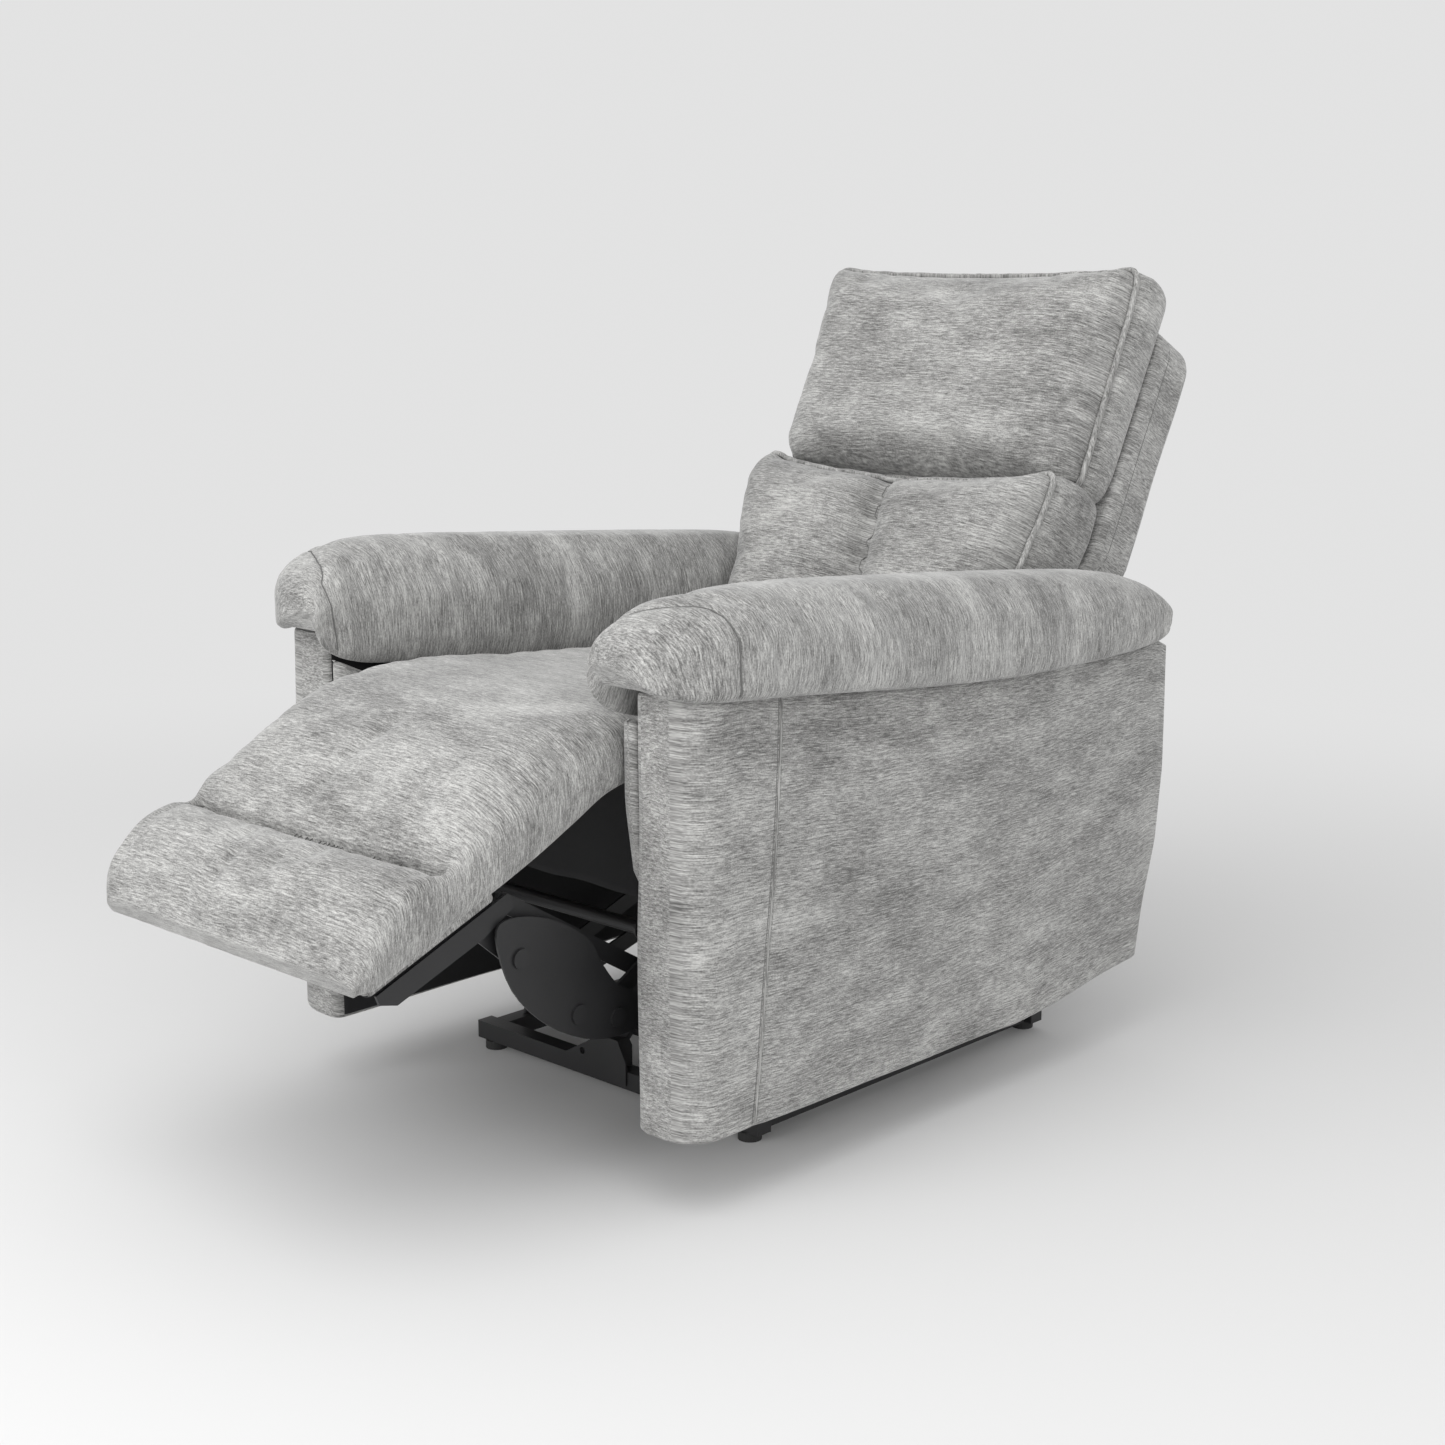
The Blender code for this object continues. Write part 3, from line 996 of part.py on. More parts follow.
def centre_on_footprint():
    """Moves the chair so that the middle of its bounding box stands on the origin."""
    bpy.context.view_layer.update()
    graph = bpy.context.evaluated_depsgraph_get()
    points = []
    for obj in PARTS.objects:
        if obj.type == "MESH":
            evaluated = obj.evaluated_get(graph)
            points += [evaluated.matrix_world @ vertex.co for vertex in evaluated.data.vertices]
    y_values = [point.y for point in points]
    ROOT.location = (0.0, -(min(y_values) + max(y_values)) / 2, -min(point.z for point in points))


def main():
    make_bodies()
    make_base()
    make_lift_links()
    make_chassis()
    make_seat_frame()
    make_seat_cushion()
    make_skirt()
    make_arms()
    make_back()
    make_drive_frame()
    make_cranks_and_couplers()
    make_footrest()
    make_swinging_actuator("lift", 0.0, LIFT_ACTUATOR_PIVOT, DRIVE_SHAFT, LIFT_GEARBOX_SPAN,
                           LIFT_TUBE_END, PIN_RADIUS, DRIVE_SHAFT_RADIUS, LIFT_EYE_PLAY)
    make_swinging_actuator("recline", RECLINE_ACTUATOR_X, DRIVE_SHAFT, RECLINE_LUG,
                           RECLINE_GEARBOX_SPAN, RECLINE_TUBE_END, DRIVE_SHAFT_RADIUS, PIN_RADIUS, RECLINE_EYE_PLAY)
    make_footrest_actuator()
    make_control_box()
    make_handset()
    centre_on_footprint()


main()
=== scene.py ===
"""Lift recliner chair, dressed: chenille cushions, piping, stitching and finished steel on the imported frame.

Metres, +Z up. The chair faces -Y and its left side is +X. Side profiles are (y, z) points measured from the
front feet, so DATUM_Y carries them into the frame.
"""

import json
import math

import bpy
import numpy as np
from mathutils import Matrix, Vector, noise


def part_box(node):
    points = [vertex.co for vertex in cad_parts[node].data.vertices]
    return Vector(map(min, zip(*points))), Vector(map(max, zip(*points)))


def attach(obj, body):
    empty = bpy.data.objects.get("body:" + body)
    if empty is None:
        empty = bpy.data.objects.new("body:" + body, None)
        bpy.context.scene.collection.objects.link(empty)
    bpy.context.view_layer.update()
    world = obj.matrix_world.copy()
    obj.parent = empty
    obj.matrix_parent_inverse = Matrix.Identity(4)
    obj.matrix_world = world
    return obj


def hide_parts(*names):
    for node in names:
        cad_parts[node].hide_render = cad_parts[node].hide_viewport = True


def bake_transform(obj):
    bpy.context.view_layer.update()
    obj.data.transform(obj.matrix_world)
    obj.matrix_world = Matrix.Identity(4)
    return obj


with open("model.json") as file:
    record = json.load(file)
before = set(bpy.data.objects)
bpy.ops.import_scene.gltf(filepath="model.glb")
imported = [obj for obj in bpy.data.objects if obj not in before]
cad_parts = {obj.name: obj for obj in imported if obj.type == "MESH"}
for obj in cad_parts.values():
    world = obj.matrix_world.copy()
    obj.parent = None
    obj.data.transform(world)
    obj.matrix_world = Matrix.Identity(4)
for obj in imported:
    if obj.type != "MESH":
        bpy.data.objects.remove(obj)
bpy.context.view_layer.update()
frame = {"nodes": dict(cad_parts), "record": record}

NODES = frame["nodes"]
SIDES = (("left", 1), ("right", -1))


def middle_of(node):
    low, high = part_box(node)
    return (low + high) / 2


DATUM_Y = middle_of("foot_front_left").y
BACK_TILT = math.radians(26.5)
ALONG_BACK = Vector((0.0, math.sin(BACK_TILT), math.cos(BACK_TILT)))
ACROSS_BACK = Vector((0.0, math.cos(BACK_TILT), -math.sin(BACK_TILT)))

# ---- camera ------------------------------------------------------------------------------------------
CAMERA_AT = (2.0323, -1.9339, 1.0803)      # from the middle of the front feet
CAMERA_TILT = math.radians(78.39)
CAMERA_TURN = math.radians(43.50)
CAMERA_LENS = 54.797

# ---- upholstery --------------------------------------------------------------------------------------
WEAVE = "weave"                            # UV map in metres: u along the threads, v across them
PIPING_RADIUS = 0.0042
PIPING_LIFT = 0.0040
# radius of the dark tubes that paint the shade in seams
SEAM_SHADE_RADIUS = 0.0009
STITCH_RADIUS = 0.0006
PAD_WIDTHS = ((-0.62, 0.252), (-0.24, 0.252), (-0.16, 0.245), (0.40, 0.242))
CREASE_Y = -0.480
CREASE_SPAN = 0.93
# chaise pad from its front to its rear: middle (y, z), side seam (y, z), underside (y, z)
CHAISE = ((-0.611, 0.350, -0.609, 0.346, -0.602, 0.331), (-0.607, 0.374, -0.604, 0.368, -0.594, 0.336),
          (-0.586, 0.406, -0.583, 0.399, -0.580, 0.342), (-0.552, 0.433, -0.548, 0.428, -0.550, 0.354),
          (-0.514, 0.449, -0.512, 0.443, -0.515, 0.368), (-0.494, 0.448, -0.495, 0.444, -0.496, 0.376),
          (-0.481, 0.439, -0.481, 0.445, -0.482, 0.384), (-0.468, 0.459, -0.468, 0.453, -0.468, 0.391),
          (-0.448, 0.483, -0.446, 0.469, -0.446, 0.402), (-0.408, 0.513, -0.402, 0.490, -0.402, 0.420),
          (-0.358, 0.541, -0.350, 0.517, -0.350, 0.443), (-0.304, 0.562, -0.302, 0.540, -0.300, 0.468),
          (-0.252, 0.572, -0.250, 0.557, -0.245, 0.495), (-0.194, 0.577, -0.190, 0.566, -0.190, 0.500),
          (-0.120, 0.577, -0.120, 0.568, -0.130, 0.480), (0.0, 0.573, 0.0, 0.553, 0.0, 0.463),
          (0.170, 0.567, 0.170, 0.532, 0.170, 0.461), (0.300, 0.562, 0.300, 0.528, 0.300, 0.461),
          (0.362, 0.552, 0.362, 0.524, 0.362, 0.463))
# arm pad from its front to its rear: top (y, z), underside y,
# then z of its outer lobe, its middle and its drape
ARM_PAD = ((-0.284, 0.653, -0.279, 0.640, 0.640, 0.626), (-0.278, 0.678, -0.268, 0.624, 0.626, 0.604),
           (-0.262, 0.698, -0.246, 0.615, 0.625, 0.588), (-0.232, 0.714, -0.218, 0.612, 0.625, 0.577),
           (-0.190, 0.722, -0.186, 0.611, 0.621, 0.570), (-0.120, 0.724, -0.120, 0.607, 0.614, 0.563),
           (0.0, 0.718, 0.0, 0.596, 0.602, 0.552), (0.138, 0.708, 0.138, 0.583, 0.590, 0.543),
           (0.300, 0.696, 0.300, 0.572, 0.580, 0.538), (0.428, 0.686, 0.428, 0.569, 0.578, 0.538),
           (0.566, 0.674, 0.566, 0.571, 0.580, 0.545), (0.640, 0.662, 0.632, 0.577, 0.583, 0.556),
           (0.666, 0.648, 0.656, 0.586, 0.589, 0.575), (0.680, 0.624, 0.672, 0.600, 0.602, 0.592))
ARM_PAD_X = (0.250, 0.419)
ARM_TIP_Y = -0.281
ARM_NOSE = (0.135, 0.85)                     # radius of the tip's outer corner, and how much of it is cut
# hood seam: across the roll, along it
ARM_ARCH = ((-1.0, -0.895), (-0.2, -0.84), (0.5, -0.775), (1.0, -0.765))
# head and lumbar cushions: (along the back, half width) and (along the back, seam across the back)
HEAD_SPAN = (0.986, 1.310)
HEAD_WIDTHS = ((0.986, 0.266), (1.030, 0.274), (1.150, 0.276), (1.310, 0.278))
HEAD_SEAM = ((0.986, 0.240), (1.025, 0.226), (1.150, 0.221), (1.250, 0.216), (1.310, 0.207))
LUMBAR_SPAN = (0.604, 0.984)
LUMBAR_WIDTHS = ((0.604, 0.244), (0.800, 0.248), (0.860, 0.260), (0.930, 0.270), (0.984, 0.268))
LUMBAR_SEAM = ((0.604, 0.178), (0.850, 0.170), (0.930, 0.169), (0.984, 0.175))
CUSHION_REAR = 0.2994
PANEL_X = (0.2848, 0.385)
PANEL_FRONT = ((0.087, -0.240), (0.620, -0.240))
PANEL_BOTTOM = ((-0.240, 0.093), (0.370, 0.088), (0.652, 0.117), (0.680, 0.128))
PANEL_REAR = ((0.087, 0.660), (0.124, 0.666), (0.180, 0.676), (0.277, 0.700), (0.404, 0.714), (0.620, 0.714))
PANEL_TOP = ((-0.245, 0.617), (-0.169, 0.617), (-0.062, 0.605), (0.084, 0.589), (0.250, 0.576),
             (0.506, 0.572), (0.640, 0.577), (0.694, 0.573), (0.714, 0.565))
CHEEK_X = (0.2845, 0.2606)
CHEEK_FRONT = ((0.366, -0.205), (0.400, -0.224), (0.486, -0.237), (0.620, -0.238))
CHEEK_BOTTOM = ((-0.240, 0.367), (0.600, 0.367))
CHEEK_REAR = ((0.366, 0.562), (0.480, 0.599), (0.620, 0.599))
CHEEK_TOP = ((-0.240, 0.585), (-0.190, 0.562), (0.600, 0.562))
TOPSTITCH_Y = (-0.136, -0.099)             # bottom and top of the seam on the arm panel
TOPSTITCH_APART = 0.0038
BOARD_HINGE = (-0.190, 0.500)
BOARD_SLOPE = math.radians(22.0)
BOARD_SPAN = (0.230, 0.425)
BOARD_THICK = 0.0235
BOARD_HALF_WIDTH = 0.2255
SHELL_WIDTHS = ((0.550, 0.2205), (0.620, 0.2210), (0.655, 0.2350), (0.845, 0.2355), (0.915, 0.2820),
                (1.272, 0.2850))
SHELL_ACROSS = (0.3005, 0.3915)
SHELL_CORNER = 0.045
SHADE_CLOTH_X = 0.287                           # faces of the arm panels nearer the middle than this get black cloth as painted shade
SKIRT_HALF_WIDTH = 0.198
SKIRT_Z = (0.341, 0.484)
SKIRT_THICK = 0.0009
FOAM_PRESSURE = 3.0
CUSHION_SWELL = 0.010                      # furthest that the foam pushes a cover out
ARM_SWELL = 0.007

# ---- stage -------------------------------------------------------------------------------------------
PALE = (0.765, 0.765, 0.765, 1.0)          # background as the camera sees it
FLOOR_TONE = (0.71, 0.71, 0.71, 1.0)
FLOOR_RADIUS = 24.0
# the floor is plain around here and fades into the background further off
LIT_SPOT = (0.35, -0.55, 0.0)
FADE_FROM = 1.3
FADE_TO = 3.6
SKY_STRENGTH = 0.76
# name, place, aim, size, watts
LAMPS = (("softbox_above", (0.7, -1.6, 3.3), (0.0, -0.1, 0.3), 2.8, 34.0),
         ("softbox_side", (3.1, -1.5, 1.9), (0.0, 0.0, 0.5), 2.4, 28.0),
         ("softbox_front", (-0.6, -3.3, 1.7), (0.0, 0.0, 0.5), 2.8, 52.0))

# ---- small tools -------------------------------------------------------------------------------------
def deselect_all():
    bpy.ops.object.select_all(action="DESELECT")


def work_on(obj):
    deselect_all()
    obj.select_set(True)
    bpy.context.view_layer.objects.active = obj


def apply_modifiers(obj):
    work_on(obj)
    for modifier in list(obj.modifiers):
        bpy.ops.object.modifier_apply(modifier=modifier.name)


def points_of(obj):
    points = np.empty(len(obj.data.vertices) * 3)
    obj.data.vertices.foreach_get("co", points)
    return points.reshape(-1, 3)


def set_points(obj, points):
    obj.data.vertices.foreach_set("co", points.astype(np.float32).ravel())
    obj.data.update()


def normals_of(obj):
    normals = np.empty(len(obj.data.vertices) * 3)
    obj.data.vertex_normals.foreach_get("vector", normals)
    return normals.reshape(-1, 3)


def smooth_step(low, high, value):
    t = np.clip((value - low) / (high - low), 0.0, 1.0)
    return t * t * (3.0 - 2.0 * t)


def spline(stations, steps=12):
    """A smooth line through the stations, as many points; each station may hold any number of values."""
    knots = np.array(stations, float)
    knots = np.vstack([2 * knots[0] - knots[1], knots, 2 * knots[-1] - knots[-2]])
    line = []
    for before, start, end, after in zip(knots, knots[1:], knots[2:], knots[3:]):
        for t in np.arange(steps) / steps:
            line.append(0.5 * (2 * start + (end - before) * t
                               + (2 * before - 5 * start + 4 * end - after) * t ** 2
                               + (3 * start - before - 3 * end + after) * t ** 3))
    return np.array([*line, knots[-2]])


def rail(stations, share, measured=2):
    """Values on the smooth line at a share of its length, counted on its first columns."""
    line = spline(stations)
    steps = np.linalg.norm(np.diff(line[:, :measured], axis=0), axis=1)
    length = np.concatenate([[0.0], np.cumsum(steps)])
    return np.stack([np.interp(share * length[-1], length, column) for column in line.T], axis=-1), length[-1]


def distance_to(points, path):
    """Distance of each point from a line of straight runs."""
    nearest = np.full(len(points), 1e9)
    for start, end in zip(np.array(path[:-1], float), np.array(path[1:], float)):
        run = end - start
        t = np.clip((points - start) @ run / (run @ run), 0.0, 1.0)
        nearest = np.minimum(nearest, np.linalg.norm(points - start - t[:, None] * run, axis=1))
    return nearest


def furrow(obj, path, width, depth):
    """Presses a soft line into a surface, or raises a fold where the depth is negative."""
    points = points_of(obj)
    press = depth * np.exp(-(distance_to(points, path) / width) ** 2)
    set_points(obj, points - normals_of(obj) * press[:, None])


def laid_on(obj, path, lift=0.0):
    """The path's points carried onto a finished surface, a little above or under it."""
    laid = []
    for point in path:
        _, spot, normal, _ = obj.closest_point_on_mesh(Vector(point))
        laid.append(spot + lift * normal)
    return laid


def uneven(obj, height, size, seed):
    """Hand-filled unevenness: low swells of a given height and size over the surface."""
    points = points_of(obj)
    swell = np.array([noise.noise(Vector(p) / size + Vector((seed, 0.0, 0.0))) for p in points])
    set_points(obj, points + normals_of(obj) * (height * swell)[:, None])


def waves(place, size, seed):
    """A smooth uneven wave along one measure, between about -1 and 1."""
    return np.array([noise.noise(Vector((p / size, seed, 0.37))) for p in np.ravel(place)]) * 1.8


def slab(name, across, along, layers, crowd=0.0):
    """A block of cells between -1 and 1: threads run along its x, its length is y, its face is +z."""
    deselect_all()
    bpy.ops.mesh.primitive_grid_add(x_subdivisions=across, y_subdivisions=along, size=2.0,
                                    location=(0, 0, -1))
    obj = bpy.context.active_object
    obj.name = name
    obj.data.name = name
    bpy.ops.object.transform_apply(location=True, rotation=True, scale=True)
    bpy.ops.object.mode_set(mode="EDIT")
    bpy.ops.mesh.select_all(action="SELECT")
    for _ in range(layers):
        bpy.ops.mesh.extrude_region_move(TRANSFORM_OT_translate={"value": (0, 0, 2.0 / layers)})
    bpy.ops.object.mode_set(mode="OBJECT")
    bpy.ops.object.shade_smooth()
    share = (points_of(obj) + 1) / 2
    set_points(obj, 2 * (share - crowd * np.sin(2 * math.pi * share) / (2 * math.pi)) - 1)
    return obj


def lay_weave(obj, width, length, depth):
    """Gives an unshaped slab its weave map: the threads run round it, across its length."""
    mesh = obj.data
    while mesh.uv_layers:
        mesh.uv_layers.remove(mesh.uv_layers[0])
    weave = mesh.uv_layers.new(name=WEAVE)
    shift = 1.7 * len(bpy.data.meshes)
    for face in mesh.polygons:
        normal = np.abs(face.normal)
        for corner in face.loop_indices:
            a, b, c = mesh.vertices[mesh.loops[corner].vertex_index].co
            u = a * width / 2
            v = b * length / 2
            if normal[0] > 0.5:
                u = math.copysign(width / 2 + (1 - c) * depth / 2, a)
            elif normal[1] > 0.5:
                v = math.copysign(length / 2 + (1 - c) * depth / 2, b)
            weave.data[corner].uv = (u + shift, v + shift / 2)


def shape(obj, place):
    """Moves a slab's points to their places, with its outside facing out."""
    set_points(obj, place(*points_of(obj).T))
    work_on(obj)
    bpy.ops.object.mode_set(mode="EDIT")
    bpy.ops.mesh.select_all(action="SELECT")
    bpy.ops.mesh.normals_make_consistent(inside=False)
    bpy.ops.object.mode_set(mode="OBJECT")


def line_at(line, value):
    """Reads a line of (at, value) points."""
    at, values = zip(*line)
    return np.interp(value, at, values)


def nose(depth, radius):
    """How far a rounded edge falls back, at a depth behind it."""
    left = np.clip(radius - depth, 0.0, radius)
    return radius - np.sqrt(radius ** 2 - left ** 2)


def rim(steps=72, level=1.0):
    """Block coordinates of the seam round a slab's face."""
    side = np.linspace(-1, 1, steps, endpoint=False)
    one = np.ones(steps)
    a = np.concatenate([side, one, -side, -one])
    b = np.concatenate([-one, side, one, -side])
    return a, b, np.full(4 * steps, level)


def rounded(block, half, radius):
    """Rounds the edges and corners of a centred box of surface points."""
    half = np.array(half)
    radius = np.array(radius)
    flat = half - radius
    past = np.maximum(np.abs(block) - flat, 0.0) / radius
    most = past.max(axis=1)
    length = np.maximum(np.linalg.norm(past, axis=1), 1e-9)
    pulled = flat + past * (most / length)[:, None] * radius
    return np.where(np.abs(block) > flat, np.sign(block) * pulled, block)


def in_frame(x, y, z):
    """Points whose y is measured from the front feet."""
    return np.stack([x, y + DATUM_Y, z], axis=-1)


def mirrored(place, side):
    def placed(a, b, c):
        return place(a, b, c) * (side, 1, 1)
    return placed


def on_back(along, across_it, x):
    place = np.outer(along, ALONG_BACK) + np.outer(across_it, ACROSS_BACK)
    place[:, 0] = x
    place[:, 1] += DATUM_Y
    return place


# ---- materials ---------------------------------------------------------------------------------------
def node_group(name, inputs, outputs):
    group = bpy.data.node_groups.new(name, "ShaderNodeTree")
    for label, kind, value in inputs:
        socket = group.interface.new_socket(label, in_out="INPUT", socket_type=kind)
        if value is not None:
            socket.default_value = value
    for label, kind in outputs:
        group.interface.new_socket(label, in_out="OUTPUT", socket_type=kind)
    return group, group.nodes.new("NodeGroupInput"), group.nodes.new("NodeGroupOutput")


def link(tree, source, target):
    tree.links.new(source, target)


def math_node(tree, operation, first, second):
    node = tree.nodes.new("ShaderNodeMath")
    node.operation = operation
    for socket, value in zip(node.inputs, (first, second)):
        if isinstance(value, (int, float)):
            socket.default_value = value
        else:
            link(tree, value, socket)
    return node.outputs[0]


def noise_at(tree, vector, scale, detail=2.0, roughness=0.5):
    """A noise value whose pattern is stretched by a scale for each axis."""
    mapping = tree.nodes.new("ShaderNodeMapping")
    mapping.inputs["Scale"].default_value = scale
    link(tree, vector, mapping.inputs["Vector"])
    texture = tree.nodes.new("ShaderNodeTexNoise")
    texture.inputs["Scale"].default_value = 1.0
    texture.inputs["Detail"].default_value = detail
    texture.inputs["Roughness"].default_value = roughness
    link(tree, mapping.outputs[0], texture.inputs["Vector"])
    return texture.outputs["Fac"]


def chenille_group():
    """Streaked chenille pile: short threads, nap that lies in patches, and the pile's height."""
    group, start, end = node_group(
        "chenille_pile", [("Thread", "NodeSocketVector", None)],
        [("Tone", "NodeSocketFloat"), ("Height", "NodeSocketFloat")])
    thread = start.outputs["Thread"]
    sway = group.nodes.new("ShaderNodeTexNoise")
    sway.inputs["Scale"].default_value = 9.0
    sway.inputs["Detail"].default_value = 1.0
    link(group, thread, sway.inputs["Vector"])
    lean = group.nodes.new("ShaderNodeVectorMath")
    lean.operation = "MULTIPLY_ADD"
    lean.inputs[1].default_value = (0.0, 0.010, 0.0)
    link(group, sway.outputs["Color"], lean.inputs[0])
    link(group, thread, lean.inputs[2])
    laid = lean.outputs[0]
    strand = noise_at(group, laid, (90.0, 620.0, 1.0), 1.0, 0.6)
    tuft = noise_at(group, laid, (420.0, 620.0, 1.0), 1.0)
    streak = noise_at(group, laid, (32.0, 400.0, 1.0), 2.0, 0.6)
    patch = noise_at(group, laid, (11.0, 28.0, 1.0), 3.0, 0.62)
    cloud = noise_at(group, laid, (5.0, 8.0, 1.0), 2.0)
    fine = math_node(group, "ADD", math_node(group, "MULTIPLY", strand, 0.60),
                     math_node(group, "MULTIPLY", tuft, 0.40))
    broad = math_node(group, "ADD", math_node(group, "MULTIPLY", patch, 0.55),
                      math_node(group, "MULTIPLY", cloud, 0.45))
    woven = math_node(group, "ADD", math_node(group, "MULTIPLY", fine, 0.64),
                      math_node(group, "MULTIPLY", streak, 0.36))
    tone = math_node(group, "ADD", math_node(group, "MULTIPLY", woven, 0.68),
                     math_node(group, "MULTIPLY", broad, 0.32))
    link(group, tone, end.inputs["Tone"])
    link(group, fine, end.inputs["Height"])
    return group


def principled(name, roughness, **values):
    """A material with one Principled shader; other values are set on its own sockets."""
    material = bpy.data.materials.new(name)
    material.use_nodes = True
    shader = material.node_tree.nodes["Principled BSDF"]
    shader.inputs["Roughness"].default_value = roughness
    for label, value in values.items():
        shader.inputs[label.replace("_", " ")].default_value = value
    return material, material.node_tree, shader


def ramp(tree, value, stops):
    node = tree.nodes.new("ShaderNodeValToRGB")
    while len(node.color_ramp.elements) < len(stops):
        node.color_ramp.elements.new(0.5)
    for element, (place, colour) in zip(node.color_ramp.elements, stops):
        element.position = place
        element.color = (*colour, 1.0)
    link(tree, value, node.inputs["Fac"])
    return node.outputs["Color"]


def bump(tree, shader, height, strength, distance):
    node = tree.nodes.new("ShaderNodeBump")
    node.inputs["Strength"].default_value = strength
    node.inputs["Distance"].default_value = distance
    link(tree, height, node.inputs["Height"])
    link(tree, node.outputs["Normal"], shader.inputs["Normal"])


def group_in(tree, group, **sources):
    node = tree.nodes.new("ShaderNodeGroup")
    node.node_tree = group
    for label, source in sources.items():
        link(tree, source, node.inputs[label])
    return node


def chenille(name, source, dark, middle, light):
    """Silver-grey chenille; the source is the node output that the threads are laid on."""
    material, tree, shader = principled(name, 0.85, Sheen_Weight=0.35, Sheen_Roughness=0.45,
                                        Specular_IOR_Level=0.2)
    pile = group_in(tree, PILE, Thread=source(tree))
    colour = ramp(tree, pile.outputs["Tone"], ((0.405, dark), (0.50, middle), (0.60, light)))
    link(tree, colour, shader.inputs["Base Color"])
    bump(tree, shader, pile.outputs["Height"], 0.55, 0.0016)
    return material


def weave_map(tree):
    node = tree.nodes.new("ShaderNodeUVMap")
    node.uv_map = WEAVE
    return node.outputs["UV"]


def object_place(scale):
    def source(tree):
        place = tree.nodes.new("ShaderNodeTexCoord")
        mapping = tree.nodes.new("ShaderNodeMapping")
        mapping.inputs["Scale"].default_value = scale
        link(tree, place.outputs["Object"], mapping.inputs["Vector"])
        return mapping.outputs[0]
    return source


def side_place(tree):
    """Threads along y on an upright side."""
    place = tree.nodes.new("ShaderNodeTexCoord")
    parts = tree.nodes.new("ShaderNodeSeparateXYZ")
    thread = tree.nodes.new("ShaderNodeCombineXYZ")
    link(tree, place.outputs["Object"], parts.inputs[0])
    link(tree, parts.outputs["Y"], thread.inputs["X"])
    link(tree, parts.outputs["Z"], thread.inputs["Y"])
    return thread.outputs[0]


def grained(name, colour, shade, roughness, scale, strength, distance, **values):
    """A moulded or painted finish: fine grain in its tone, gloss and surface."""
    material, tree, shader = principled(name, roughness, **values)
    place = tree.nodes.new("ShaderNodeTexCoord").outputs["Object"]
    grain = noise_at(tree, place, (scale, scale, scale), 3.0)
    broad = noise_at(tree, place, (9.0, 9.0, 9.0), 3.0)
    tone = math_node(tree, "ADD", math_node(tree, "MULTIPLY", grain, 0.4),
                     math_node(tree, "MULTIPLY", broad, 0.6))
    link(tree, ramp(tree, tone, ((0.3, shade), (0.7, colour))), shader.inputs["Base Color"])
    gloss = math_node(tree, "ADD", math_node(tree, "MULTIPLY", broad, 0.2), roughness - 0.1)
    link(tree, gloss, shader.inputs["Roughness"])
    bump(tree, shader, grain, strength, distance)
    return material


def timber_finish():
    material, tree, shader = principled("timber_board", 0.7)
    place = tree.nodes.new("ShaderNodeTexCoord").outputs["Object"]
    grain = noise_at(tree, place, (3.0, 70.0, 90.0), 4.0, 0.65)
    link(tree, ramp(tree, grain, ((0.35, (0.30, 0.19, 0.10)), (0.65, (0.56, 0.40, 0.24)))),
         shader.inputs["Base Color"])
    bump(tree, shader, grain, 0.4, 0.0006)
    return material


PILE = chenille_group()
PILE_TONES = ((0.112, 0.111, 0.108), (0.285, 0.283, 0.276), (0.535, 0.533, 0.519))
CHENILLE = chenille("chenille", weave_map, *PILE_TONES)
WELT = chenille("chenille_welt", object_place((6.0, 1.0, 1.0)), *PILE_TONES)
SIDE_CHENILLE = chenille("chenille_pocket", side_place, *PILE_TONES)
# painted shade: a dark tone for tubes laid in seam grooves and creases, standing in for their shade
SEAM_SHADE = grained("seam_shadow", (0.17, 0.17, 0.165), (0.11, 0.11, 0.107), 0.9, 900.0, 0.2, 0.0003)
THREAD = grained("stitch_thread", (0.36, 0.36, 0.35), (0.26, 0.26, 0.25), 0.7, 1500.0, 0.3, 0.0002)
POWDER_COAT = grained("powder_coat", (0.022, 0.022, 0.023), (0.012, 0.012, 0.013), 0.45, 900.0, 0.25, 0.0003)
ZINC = grained("zinc_plate", (0.62, 0.62, 0.60), (0.42, 0.42, 0.41), 0.35, 500.0, 0.15, 0.0002, Metallic=1.0)
BLACK_PLASTIC = grained("black_plastic", (0.030, 0.030, 0.032), (0.018, 0.018, 0.019), 0.5, 1400.0, 0.3,
                        0.0002)
GREY_PLASTIC = grained("grey_plastic", (0.30, 0.30, 0.31), (0.22, 0.22, 0.23), 0.5, 1400.0, 0.3, 0.0002)
RUBBER = grained("glide_rubber", (0.030, 0.030, 0.030), (0.016, 0.016, 0.016), 0.75, 700.0, 0.4, 0.0004)
# black dust cloth; on the arm panels' inner faces and the footrest board's underside it is painted shade
CAMBRIC_AND_SHADE_CLOTH = grained("dust_cambric_and_shade_cloth", (0.026, 0.026, 0.027), (0.014, 0.014, 0.015), 0.95, 1100.0, 0.6, 0.0005)
TIMBER = timber_finish()
SLOT_FINISH = {"upholstery": CHENILLE, "cambric": CAMBRIC_AND_SHADE_CLOTH, "timber": TIMBER, "black_steel": POWDER_COAT,
               "bare_steel": ZINC, "black_plastic": BLACK_PLASTIC, "grey_plastic": GREY_PLASTIC,
               "rubber": RUBBER}


def paint(obj, material):
    obj.data.materials.clear()
    obj.data.materials.append(material)


def line_with_shade_cloth(obj, chosen):
    """Black cloth as painted shade on the chosen faces of a dressed piece; chosen reads a face's middle and
    normal.
    """
    obj.data.materials.append(CAMBRIC_AND_SHADE_CLOTH)
    for face in obj.data.polygons:
        if chosen(face.center, face.normal):
            face.material_index = 1


def finish_cad_nodes():
    for part in frame["record"]["subparts"]:
        paint(NODES[part["node"]], SLOT_FINISH[part["material_slot"]])


# ---- cloth -------------------------------------------------------------------------------------------
def pin(obj, strength):
    """Holds the seams and seated faces of a cushion, by a weight for each point."""
    group = obj.vertex_groups.new(name="seams")
    for index in np.nonzero(strength > 0.0)[0]:
        group.add([int(index)], float(strength[index]), "REPLACE")


